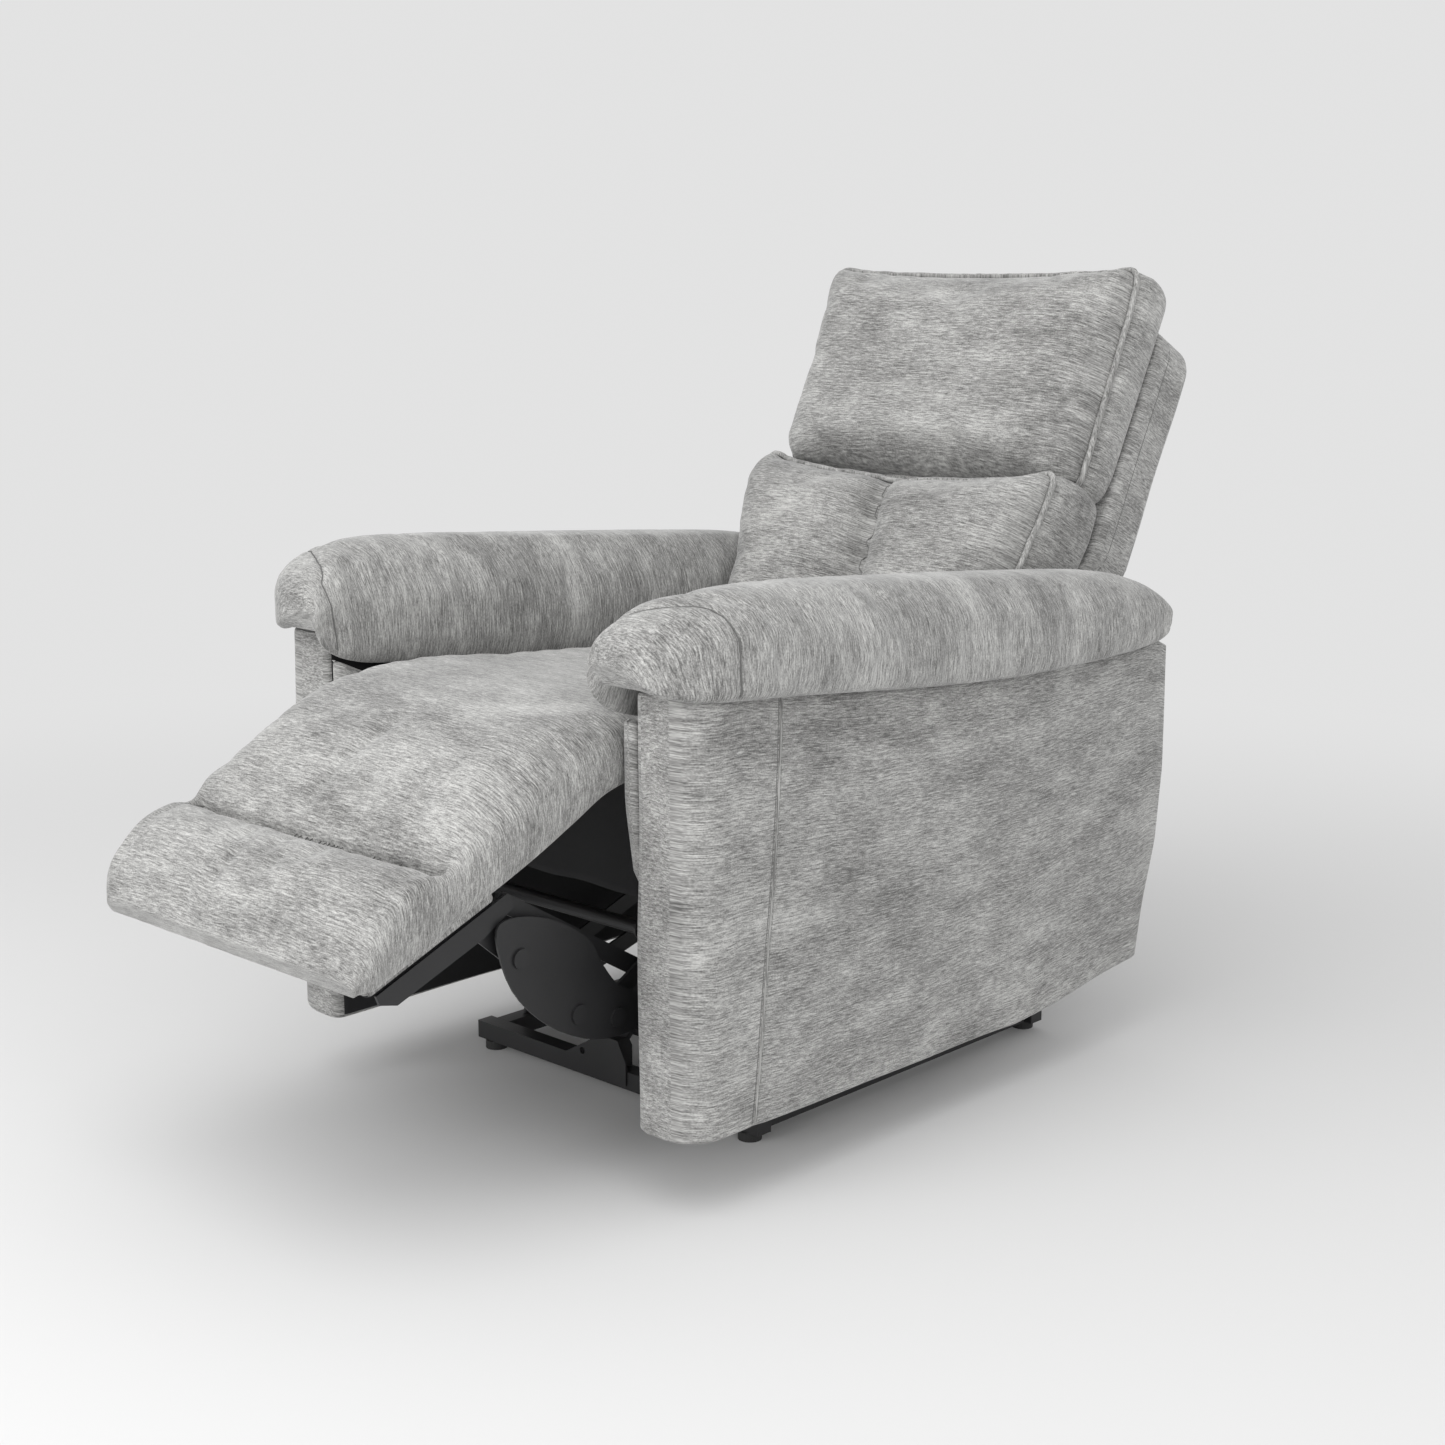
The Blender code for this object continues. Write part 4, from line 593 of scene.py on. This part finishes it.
def stuff_with_foam(cushions, frames=20):
    """Blows the covers up against their seams and keeps the folds that form."""
    before = {}
    for obj, pressure, _ in cushions:
        before[obj.name] = points_of(obj)
        cloth = obj.modifiers.new("stuffing", "CLOTH")
        settings = cloth.settings
        settings.quality = 5
        settings.mass = 0.3
        settings.tension_stiffness = 18.0
        settings.compression_stiffness = 18.0
        settings.bending_stiffness = 1.2
        settings.shrink_min = -0.02
        settings.use_pressure = True
        settings.uniform_pressure_force = pressure
        settings.vertex_group_mass = "seams"
        settings.effector_weights.gravity = 0.0
        cloth.collision_settings.use_collision = False
    scene = bpy.context.scene
    for number in range(1, frames + 1):
        scene.frame_set(number)
    graph = bpy.context.evaluated_depsgraph_get()
    for obj, _, most in cushions:
        evaluated = obj.evaluated_get(graph)
        points = np.empty(len(obj.data.vertices) * 3)
        evaluated.data.vertices.foreach_get("co", points)
        moved = points.reshape(-1, 3) - before[obj.name]
        length = np.maximum(np.linalg.norm(moved, axis=1), 1e-9)
        obj.modifiers.remove(obj.modifiers["stuffing"])
        set_points(obj, before[obj.name] + moved * np.minimum(1.0, most / length)[:, None])
    scene.frame_set(1)


def subdivide(obj, levels=1):
    modifier = obj.modifiers.new("smooth", "SUBSURF")
    modifier.levels = levels
    modifier.render_levels = levels
    apply_modifiers(obj)


def tubes(name, paths, radius, material, closed=False):
    """Round welts or threads along paths of points, as one mesh."""
    curve = bpy.data.curves.new(name, "CURVE")
    curve.dimensions = "3D"
    curve.bevel_depth = radius
    curve.bevel_resolution = 1
    curve.use_fill_caps = True
    for path in paths:
        line = curve.splines.new("POLY")
        line.points.add(len(path) - 1)
        for point, place in zip(line.points, path):
            point.co = (*place, 1.0)
        line.use_cyclic_u = closed
    obj = bpy.data.objects.new(name, curve)
    bpy.context.scene.collection.objects.link(obj)
    work_on(obj)
    bpy.ops.object.convert(target="MESH")
    obj = bpy.context.active_object
    bpy.ops.object.shade_smooth()
    paint(obj, material)
    return obj


def piping(name, cushion, place):
    """A welt round a cushion's face, in a seam that draws the cover in beside it."""
    path = place(*rim())
    furrow(cushion, np.vstack([path, path[:1]]), 0.010, 0.0048)
    laid = laid_on(cushion, path, PIPING_LIFT)
    wobble = [p + 0.0009 * noise.noise_vector(p / 0.030) for p in laid]
    return tubes(name, [wobble], PIPING_RADIUS, WELT, closed=True)


# Lays a dark tube along a seam as painted shade in its groove.
def seam_shade_line(name, path, closed=False):
    return tubes(name, [path], SEAM_SHADE_RADIUS, SEAM_SHADE, closed)


def stitching(name, path, stitch=0.0042, gap=0.0026):
    """A row of stitches along a path of points."""
    path = np.array(path)
    steps = np.linalg.norm(np.diff(path, axis=0), axis=1)
    at = np.concatenate([[0.0], np.cumsum(steps)])
    starts = np.arange(0.0, at[-1] - stitch, stitch + gap)
    rows = [[[np.interp(place, at, column) for column in path.T] for place in (start, start + stitch)]
            for start in starts]
    return tubes(name, rows, STITCH_RADIUS, THREAD)


# ---- cushions ----------------------------------------------------------------------------------------
def chaise_place(a, b, c):
    """The chaise: its middle, side seams and underside follow the profile, front at b = -1."""
    spot, _ = rail(CHAISE, (b + 1) / 2)
    depth = (1 - c) / 2
    share = 1 - np.abs(a) ** 9
    top_y = spot[:, 2] + (spot[:, 0] - spot[:, 2]) * share
    top_z = spot[:, 3] + (spot[:, 1] - spot[:, 3]) * share
    crease = np.exp(-((top_y - CREASE_Y) / 0.010) ** 2) * (1 - smooth_step(0.88, 0.97, np.abs(a)))
    top_z = top_z - 0.006 * crease
    y = top_y + (spot[:, 4] - top_y) * depth
    z = top_z + (spot[:, 5] - top_z) * depth
    bulge = 0.007 * (1 - c ** 2) * smooth_step(0.9, 1.0, np.abs(a))
    corner = smooth_step(0.90, 1.0, -b) * smooth_step(0.86, 1.0, np.abs(a))
    x = np.sign(a) * (line_at(PAD_WIDTHS, y) * np.abs(a) + bulge - 0.018 * corner)
    x = x - np.sign(a) * 0.004 * np.exp(-((y - CREASE_Y) / 0.02) ** 2) * smooth_step(0.9, 1.0, np.abs(a))
    gather = waves(x, 0.021, 3.0) * np.exp(-((c + 0.2) / 0.7) ** 2) * smooth_step(0.965, 0.995, -b)
    return in_frame(x, y - 0.0022 * gather, z)


def chaise_pad():
    """The seat cushion that runs on over the footrest, with its sewn crease and front roll."""
    pad = slab("chaise_pad", 72, 144, 8)
    a, b, c = points_of(pad).T
    _, length = rail(CHAISE, b)
    lay_weave(pad, 0.504, length, 0.08)
    y = chaise_place(a, b, c)[:, 1] - DATUM_Y
    shape(pad, chaise_place)
    face = c > 0.999
    edge = (np.abs(a) > 0.999) | (np.abs(b) > 0.999)
    crease = np.exp(-((y - CREASE_Y) / 0.009) ** 2) * (1 - smooth_step(0.88, 0.97, np.abs(a)))
    pin(pad, np.where(~face | edge, 1.0, np.clip(crease, 0.0, 1.0)))
    return pad


def cushion_place(span, widths, seam, swell, valley, sag, ears):
    """A boxed pillow on the back: b runs up it, c = 1 is its face, and its seam follows a given line."""
    length = span[1] - span[0]

    def place(a, b, c):
        half = line_at(widths, span[0] + (b + 1) / 2 * length)
        flat = rounded(np.stack([a, b, 0 * c], axis=-1) * (0.27, length / 2, 0.0), (0.27, length / 2, 1.0),
                       (0.022, 0.022, 1.0))
        depth = (1 - c) / 2
        tip = smooth_step(0.80, 1.0, np.abs(a)) * smooth_step(0.80, 1.0, b)
        dip = sag * (1 - depth) * (1 - a ** 2) * smooth_step(0.5, 1, b)
        along = sum(span) / 2 + flat[:, 1] + ears * tip - dip
        dome = np.sqrt(np.clip((1 - a ** 8) * (1 - np.abs(b) ** np.where(b < 0, 14, 6)), 0.0, 1.0))
        rise = swell * dome - valley * np.exp(-np.abs(a) / 0.10) * (1 - b ** 8)
        across_it = line_at(seam, along)
        across_it = across_it + depth * (CUSHION_REAR - across_it) - rise
        boxing = 4 * depth * (1 - depth)
        x = flat[:, 0] / 0.27 * half + np.sign(a) * 0.009 * boxing * smooth_step(0.9, 1.0, np.abs(a))
        along = along + np.sign(b) * 0.006 * boxing * smooth_step(0.9, 1.0, np.abs(b))
        return on_back(along, across_it, x)
    return place


HEAD_PLACE = cushion_place(HEAD_SPAN, HEAD_WIDTHS, HEAD_SEAM, 0.056, 0.0, 0.008, 0.006)
LUMBAR_PLACE = cushion_place(LUMBAR_SPAN, LUMBAR_WIDTHS, LUMBAR_SEAM, 0.062, 0.036, 0.024, 0.009)


def back_cushion(name, place, width, length, depth, cells, seamed):
    """A pillow held by its piping and, where it has one, by the seam down its middle."""
    cushion = slab(name, *cells)
    a, b, c = points_of(cushion).T
    lay_weave(cushion, width, length, depth)
    shape(cushion, place)
    face = c > 0.999
    edge = np.maximum(np.abs(a), np.abs(b)) > 0.999
    middle = seamed & (np.abs(a) < 0.02)
    pin(cushion, np.where(face & ~edge & ~middle, 0.0, np.where(c < 0.2, 1.0, np.where(face, 1.0, 0.35))))
    return cushion


def arm_place(a, b, c):
    """A fat roll: b runs from tip to rear, c = 1 is its top, a = -1 its inner side, which drapes down."""
    spot, _ = rail(ARM_PAD, (b + 1) / 2)
    corner = 0.14 + 0.30 * smooth_step(-0.5, 0.5, c)
    radius = np.stack([corner, np.full(len(c), 0.05), corner], axis=-1)
    p, _, q = (rounded(np.stack([a / 2, b, c / 2], axis=-1), (0.5, 1.0, 0.5), radius) * (2, 1, 2)).T
    upper = (q + 1) / 2
    low = spot[:, 4] + (spot[:, 5] - spot[:, 4]) * smooth_step(-0.62, -0.92, p)
    low = low + (spot[:, 3] - spot[:, 4]) * smooth_step(0.3, 0.9, p)
    y = spot[:, 2] + (spot[:, 0] - spot[:, 2]) * upper
    z = low + (spot[:, 1] - low) * upper
    outer = ARM_PAD_X[1] - ARM_NOSE[1] * nose(y - ARM_TIP_Y, ARM_NOSE[0])
    middle = (ARM_PAD_X[0] + outer) / 2
    return in_frame(middle + p * (outer - ARM_PAD_X[0]) / 2, y, z)


def arch_path():
    """Block coordinates of the hood seam over the front of an arm pad."""
    rise = np.linspace(-0.75, 1, 14, endpoint=False)
    over = np.linspace(-1, 1, 26, endpoint=False)
    a = np.concatenate([np.full(14, -1.0), over, np.full(14, 1.0)])
    c = np.concatenate([rise, np.full(26, 1.0), -rise])
    return a, line_at(ARM_ARCH, a), c


def arm_pad(name, side):
    """Its threads run round the roll."""
    pad = slab(f"arm_pad_cover_{name}", 32, 150, 16)
    a, b, c = points_of(pad).T
    _, length = rail(ARM_PAD, b)
    lay_weave(pad, 0.16, length, 0.11)
    place = mirrored(arm_place, side)
    shape(pad, place)
    seam = np.exp(-(distance_to(points_of(pad), place(*arch_path())) / 0.007) ** 2)
    pin(pad, np.where(c < -0.99, 1.0, np.where(seam > 0.2, seam, 0.0)))
    return pad


def hood_seam(pad, name, side):
    """The seam that joins the arm pad's front hood to its roll: a pressed furrow with a dark tube laid in it
    as painted shade.
    """
    path = mirrored(arm_place, side)(*arch_path())
    furrow(pad, path, 0.0035, 0.0022)
    return seam_shade_line(f"arm_pad_seam_shade_{name}", laid_on(pad, path, 0.0001))


def board_place(front, rear, bottom, top, sides, noses, edge, crown):
    """An upright padded board: a runs rearward, b up, and c = 1 is its face; noses round its front edges."""
    outward = math.copysign(1.0, sides[1] - sides[0])

    def place(a, b, c):
        level = bottom[0][1] + (top[0][1] - bottom[0][1]) * (b + 1) / 2
        fore = line_at(front, level)
        aft = line_at(rear, level)
        y = fore + (aft - fore) * (a + 1) / 2
        low = line_at(bottom, y)
        high = line_at(top, y)
        z = low + (high - low) * (b + 1) / 2
        fall = nose(np.minimum(np.minimum(z - low, high - z), aft - y), edge)
        face = sides[1] - outward * (nose(y - fore, noses[1]) + fall)
        back = sides[0] + outward * (nose(y - fore, noses[0]) + fall)
        swell = crown * (1 - a ** 4) * (1 - b ** 4) * smooth_step(0.3, 1.0, c)
        return in_frame((face + back) / 2 + c * (face - back) / 2 + outward * swell, y, z)
    return place


PANEL_PLACE = board_place(PANEL_FRONT, PANEL_REAR, PANEL_BOTTOM, PANEL_TOP, PANEL_X,
                          (0.012, 0.042), 0.007, 0.004)
CHEEK_PLACE = board_place(CHEEK_FRONT, CHEEK_REAR, CHEEK_BOTTOM, CHEEK_TOP, CHEEK_X,
                          (0.008, 0.012), 0.006, 0.0)


def arm_panel(name, side):
    panel = slab(f"arm_panel_cover_{name}", 110, 60, 10, crowd=0.72)
    lay_weave(panel, 0.95, 0.50, 0.10)
    shape(panel, mirrored(PANEL_PLACE, side))
    uneven(panel, 0.0035, 0.16, 5.0 * side)
    return panel


def cheek(name, side):
    cover = slab(f"cheek_cover_{name}", 60, 20, 4, crowd=0.6)
    lay_weave(cover, 0.84, 0.20, 0.024)
    shape(cover, mirrored(CHEEK_PLACE, side))
    return cover


def shell_place(a, b, c):
    """The back's outer shell: b runs up it, c = 1 is its front."""
    bottom, top = SHELL_WIDTHS[0][0], SHELL_WIDTHS[-1][0]
    along = bottom + (top - bottom) * (b + 1) / 2
    half = line_at(SHELL_WIDTHS, along) - nose(top - along, SHELL_CORNER)
    x = a * half
    fall = nose(np.minimum(np.minimum(top - along, along - bottom), half - np.abs(x)), 0.010)
    front, rear = SHELL_ACROSS
    puff = 0.010 * (1 - a ** 4) * (1 - b ** 4) * smooth_step(-0.2, -1.0, c)
    across_it = (front + rear) / 2 - c * ((rear - front) / 2 - fall) + puff
    return on_back(along, across_it, x)


def back_shell():
    cover = slab("back_shell_cover", 64, 72, 10, crowd=0.6)
    lay_weave(cover, 0.566, 0.712, 0.083)
    shape(cover, shell_place)
    uneven(cover, 0.002, 0.14, 9.0)
    return cover


def on_board(along, under, x):
    y = BOARD_HINGE[0] - along * math.cos(BOARD_SLOPE) + under * math.sin(BOARD_SLOPE)
    z = BOARD_HINGE[1] - along * math.sin(BOARD_SLOPE) - under * math.cos(BOARD_SLOPE)
    return in_frame(x, y, z)


def footrest_board_place(a, b, c):
    """The wrapped board under the footrest: c = 1 is its underside."""
    half = (BOARD_HALF_WIDTH, (BOARD_SPAN[1] - BOARD_SPAN[0]) / 2, BOARD_THICK / 2)
    box = rounded(np.stack([a, b, c], axis=-1) * half, half, (0.008, 0.008, 0.008))
    return on_board(sum(BOARD_SPAN) / 2 + box[:, 1], BOARD_THICK / 2 + box[:, 2], box[:, 0])


def footrest_board():
    cover = slab("footrest_board_cover", 60, 28, 6, crowd=0.6)
    lay_weave(cover, 0.45, 0.195, BOARD_THICK)
    shape(cover, footrest_board_place)
    return cover


def front_skirt():
    """Black dust cloth that hangs under the seat front in loose waves."""
    deselect_all()
    bpy.ops.mesh.primitive_grid_add(x_subdivisions=90, y_subdivisions=16, size=2.0, location=(0, 0, 0))
    skirt = bpy.context.active_object
    skirt.name = "skirt_cloth"
    skirt.data.name = "skirt_cloth"
    a, b, _ = points_of(skirt).T
    x = a * SKIRT_HALF_WIDTH
    fall = (1 - b) / 2
    y = middle_of("front_skirt").y + 0.0026 * waves(x, 0.055, 2.0) * fall
    z = SKIRT_Z[0] + (SKIRT_Z[1] - SKIRT_Z[0]) * (b + 1) / 2 + 0.002 * waves(x, 0.09, 6.0) * fall
    set_points(skirt, np.stack([x, y, z], axis=-1))
    wall = skirt.modifiers.new("thickness", "SOLIDIFY")
    wall.thickness = SKIRT_THICK
    wall.offset = 0.0
    apply_modifiers(skirt)
    work_on(skirt)
    bpy.ops.object.shade_smooth()
    paint(skirt, CAMBRIC_AND_SHADE_CLOTH)
    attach(skirt, "chassis")
    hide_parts("front_skirt")


def handset_pouch():
    """The padded pocket on the right side, with its edges turned over."""
    mesh = NODES["handset_pocket"].data.copy()
    pouch = bpy.data.objects.new("handset_pouch", mesh)
    bpy.context.scene.collection.objects.link(pouch)
    work_on(pouch)
    bpy.ops.object.mode_set(mode="EDIT")
    bpy.ops.mesh.select_all(action="SELECT")
    bpy.ops.mesh.remove_doubles(threshold=0.00005)
    bpy.ops.mesh.dissolve_limited(angle_limit=math.radians(2.0))
    bpy.ops.object.mode_set(mode="OBJECT")
    edge = pouch.modifiers.new("turned_edge", "BEVEL")
    edge.width = 0.0022
    edge.segments = 3
    edge.limit_method = "ANGLE"
    apply_modifiers(pouch)
    work_on(pouch)
    bpy.ops.object.shade_smooth_by_angle(angle=math.radians(40.0))
    paint(pouch, SIDE_CHENILLE)
    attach(pouch, "chassis")
    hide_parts("handset_pocket")


def make_camera():
    data = bpy.data.cameras.new("camera")
    data.lens = CAMERA_LENS
    data.sensor_width = 36.0
    camera = bpy.data.objects.new("camera", data)
    bpy.context.scene.collection.objects.link(camera)
    camera.location = (CAMERA_AT[0], CAMERA_AT[1] + DATUM_Y, CAMERA_AT[2])
    camera.rotation_euler = (CAMERA_TILT, 0.0, CAMERA_TURN)
    bpy.context.scene.camera = camera


def lamp(name, place, aim, size, power):
    data = bpy.data.lights.new(name, "AREA")
    data.shape = "DISK"
    data.size = size
    data.energy = power
    obj = bpy.data.objects.new(name, data)
    bpy.context.scene.collection.objects.link(obj)
    obj.location = place
    obj.rotation_euler = (Vector(aim) - Vector(place)).to_track_quat("-Z", "Y").to_euler()


def make_stage():
    """Pale floor that fades into an even background, under soft lamps."""
    deselect_all()
    bpy.ops.mesh.primitive_circle_add(vertices=96, radius=FLOOR_RADIUS, fill_type="NGON", location=(0, 0, 0))
    floor = bpy.context.active_object
    floor.name = "floor"
    material = bpy.data.materials.new("studio_floor")
    material.use_nodes = True
    tree = material.node_tree
    shader = tree.nodes["Principled BSDF"]
    shader.inputs["Base Color"].default_value = FLOOR_TONE
    shader.inputs["Roughness"].default_value = 0.9
    shader.inputs["Specular IOR Level"].default_value = 0.1
    glow = tree.nodes.new("ShaderNodeEmission")
    glow.inputs["Color"].default_value = PALE
    place = tree.nodes.new("ShaderNodeTexCoord")
    reach = tree.nodes.new("ShaderNodeVectorMath")
    reach.operation = "DISTANCE"
    reach.inputs[1].default_value = LIT_SPOT
    link(tree, place.outputs["Object"], reach.inputs[0])
    fade = tree.nodes.new("ShaderNodeMapRange")
    fade.interpolation_type = "SMOOTHSTEP"
    fade.inputs["From Min"].default_value = FADE_FROM
    fade.inputs["From Max"].default_value = FADE_TO
    link(tree, reach.outputs["Value"], fade.inputs["Value"])
    blend = tree.nodes.new("ShaderNodeMixShader")
    link(tree, fade.outputs["Result"], blend.inputs[0])
    link(tree, shader.outputs[0], blend.inputs[1])
    link(tree, glow.outputs[0], blend.inputs[2])
    link(tree, blend.outputs[0], tree.nodes["Material Output"].inputs["Surface"])
    paint(floor, material)

    world = bpy.data.worlds.new("studio")
    world.use_nodes = True
    bpy.context.scene.world = world
    tree = world.node_tree
    light = tree.nodes["Background"]
    light.inputs["Color"].default_value = (1.0, 1.0, 1.0, 1.0)
    light.inputs["Strength"].default_value = SKY_STRENGTH
    shown = tree.nodes.new("ShaderNodeBackground")
    shown.inputs["Color"].default_value = PALE
    path = tree.nodes.new("ShaderNodeLightPath")
    seen = math_node(tree, "MAXIMUM", path.outputs["Is Camera Ray"], path.outputs["Is Glossy Ray"])
    mix = tree.nodes.new("ShaderNodeMixShader")
    link(tree, seen, mix.inputs[0])
    link(tree, light.outputs[0], mix.inputs[1])
    link(tree, shown.outputs[0], mix.inputs[2])
    link(tree, mix.outputs[0], tree.nodes["World Output"].inputs["Surface"])

    for name, place, aim, size, watts in LAMPS:
        lamp(name, place, aim, size, watts)


def dress(piece, body, *nodes, fill=0.7):
    """A padded chenille piece that stands for its plain solids."""
    piece.vertex_groups.clear()
    paint(piece, CHENILLE)
    if body:
        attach(piece, body)
    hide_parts(*nodes)


def trim(piece, body):
    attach(piece, body)


def bend_over_hinge(piece):
    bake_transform(piece)


make_camera()
make_stage()
finish_cad_nodes()

PAD = chaise_pad()
HEAD = back_cushion("head_cushion_cover", HEAD_PLACE, 0.544, 0.317, 0.08, (64, 40, 8), False)
LUMBAR = back_cushion("lumbar_cushion_cover", LUMBAR_PLACE, 0.530, 0.376, 0.12, (60, 46, 10), True)
ARMS = {name: arm_pad(name, side) for name, side in SIDES}
stuff_with_foam([*((cushion, FOAM_PRESSURE, CUSHION_SWELL) for cushion in (PAD, HEAD, LUMBAR)),
                 *((arm, FOAM_PRESSURE, ARM_SWELL) for arm in ARMS.values())])
for cushion in (HEAD, LUMBAR, *ARMS.values(), PAD):
    subdivide(cushion)
dress(HEAD, "back", "head_cushion")
dress(LUMBAR, "back", "lumbar_cushion")
RISE = np.linspace(-0.97, 0.985, 60)
MIDDLE = LUMBAR_PLACE(0 * RISE, RISE, 0 * RISE + 1)
furrow(LUMBAR, MIDDLE, 0.026, 0.010)
furrow(LUMBAR, MIDDLE, 0.007, 0.006)
trim(piping("head_piping", HEAD, HEAD_PLACE), "back")
trim(piping("lumbar_piping", LUMBAR, LUMBAR_PLACE), "back")
# dark line down the lumbar's middle: painted shade in the valley of its seam
trim(seam_shade_line("lumbar_seam_shade", laid_on(LUMBAR, MIDDLE, -0.0004)), "back")
for name, side in SIDES:
    trim(hood_seam(ARMS[name], name, side), "chassis")
    dress(ARMS[name], "chassis", f"arm_pad_{name}")
    panel = arm_panel(name, side)
    y = TOPSTITCH_Y[0] + (TOPSTITCH_Y[1] - TOPSTITCH_Y[0]) * (RISE + 1) / 2
    share = 2 * (y - PANEL_FRONT[0][1]) / (PANEL_REAR[-1][1] - PANEL_FRONT[0][1]) - 1
    path = mirrored(PANEL_PLACE, side)(share, RISE, 0 * RISE + 1)
    beside = path - (0.0, TOPSTITCH_APART, 0.0)
    behind = path + (0.0, TOPSTITCH_APART, 0.0)
    furrow(panel, path, 0.010, 0.0016)
    trim(tubes(f"panel_welt_{name}", [laid_on(panel, path, 0.0003)], 0.0016, WELT), "chassis")
    # dark line in front of the welt: painted shade beside the felled seam
    trim(seam_shade_line(f"panel_seam_shade_{name}", laid_on(panel, beside, -0.0005)), "chassis")
    trim(stitching(f"panel_stitching_{name}", laid_on(panel, behind, 0.0002)), "chassis")
    dress(panel, "chassis", f"arm_panel_{name}", fill=0.95)
    # inner faces of the panel go black: painted shade
    line_with_shade_cloth(panel, lambda middle, normal: normal.x * side < -0.9 and abs(middle.x) < SHADE_CLOTH_X)
    dress(cheek(name, side), "chassis", f"cheek_{name}", fill=0.95)
SHELL = back_shell()
for name, side in SIDES:
    path = mirrored(shell_place, side)(0 * RISE + 1, RISE, 0 * RISE + 0.45)
    # dark lines down the shell's sides: painted shade in their seams
    trim(seam_shade_line(f"shell_seam_shade_{name}", laid_on(SHELL, path, -0.0004)), "back")
dress(SHELL, "back", "back_shell", fill=0.95)
BOARD = footrest_board()
dress(BOARD, "footrest", "footrest_board", fill=0.95)
# underside of the footrest board goes black: painted shade
line_with_shade_cloth(BOARD, lambda middle, normal: normal.z < -0.6)
front_skirt()
handset_pouch()
ACROSS = np.linspace(-CREASE_SPAN, CREASE_SPAN, 90) * PAD_WIDTHS[0][1]
CREASE = laid_on(PAD, in_frame(ACROSS, 0 * ACROSS + CREASE_Y, 0 * ACROSS + 0.436))
furrow(PAD, CREASE, 0.007, 0.009)
# dark line in the crease: painted shade under the fabric that overhangs it
trim(seam_shade_line("chaise_crease_shade", laid_on(PAD, CREASE, -0.0008)), "footrest")
DOWN = np.linspace(-0.97, 0.9, 120)
for _, side in SIDES:
    path = chaise_place(0 * DOWN + side, DOWN, 0 * DOWN + 1)
    furrow(PAD, path, 0.0035, 0.0014)
bend_over_hinge(PAD)
dress(PAD, None, "seat_cushion", "footrest_pad")

bpy.context.scene.view_settings.view_transform = "Standard"
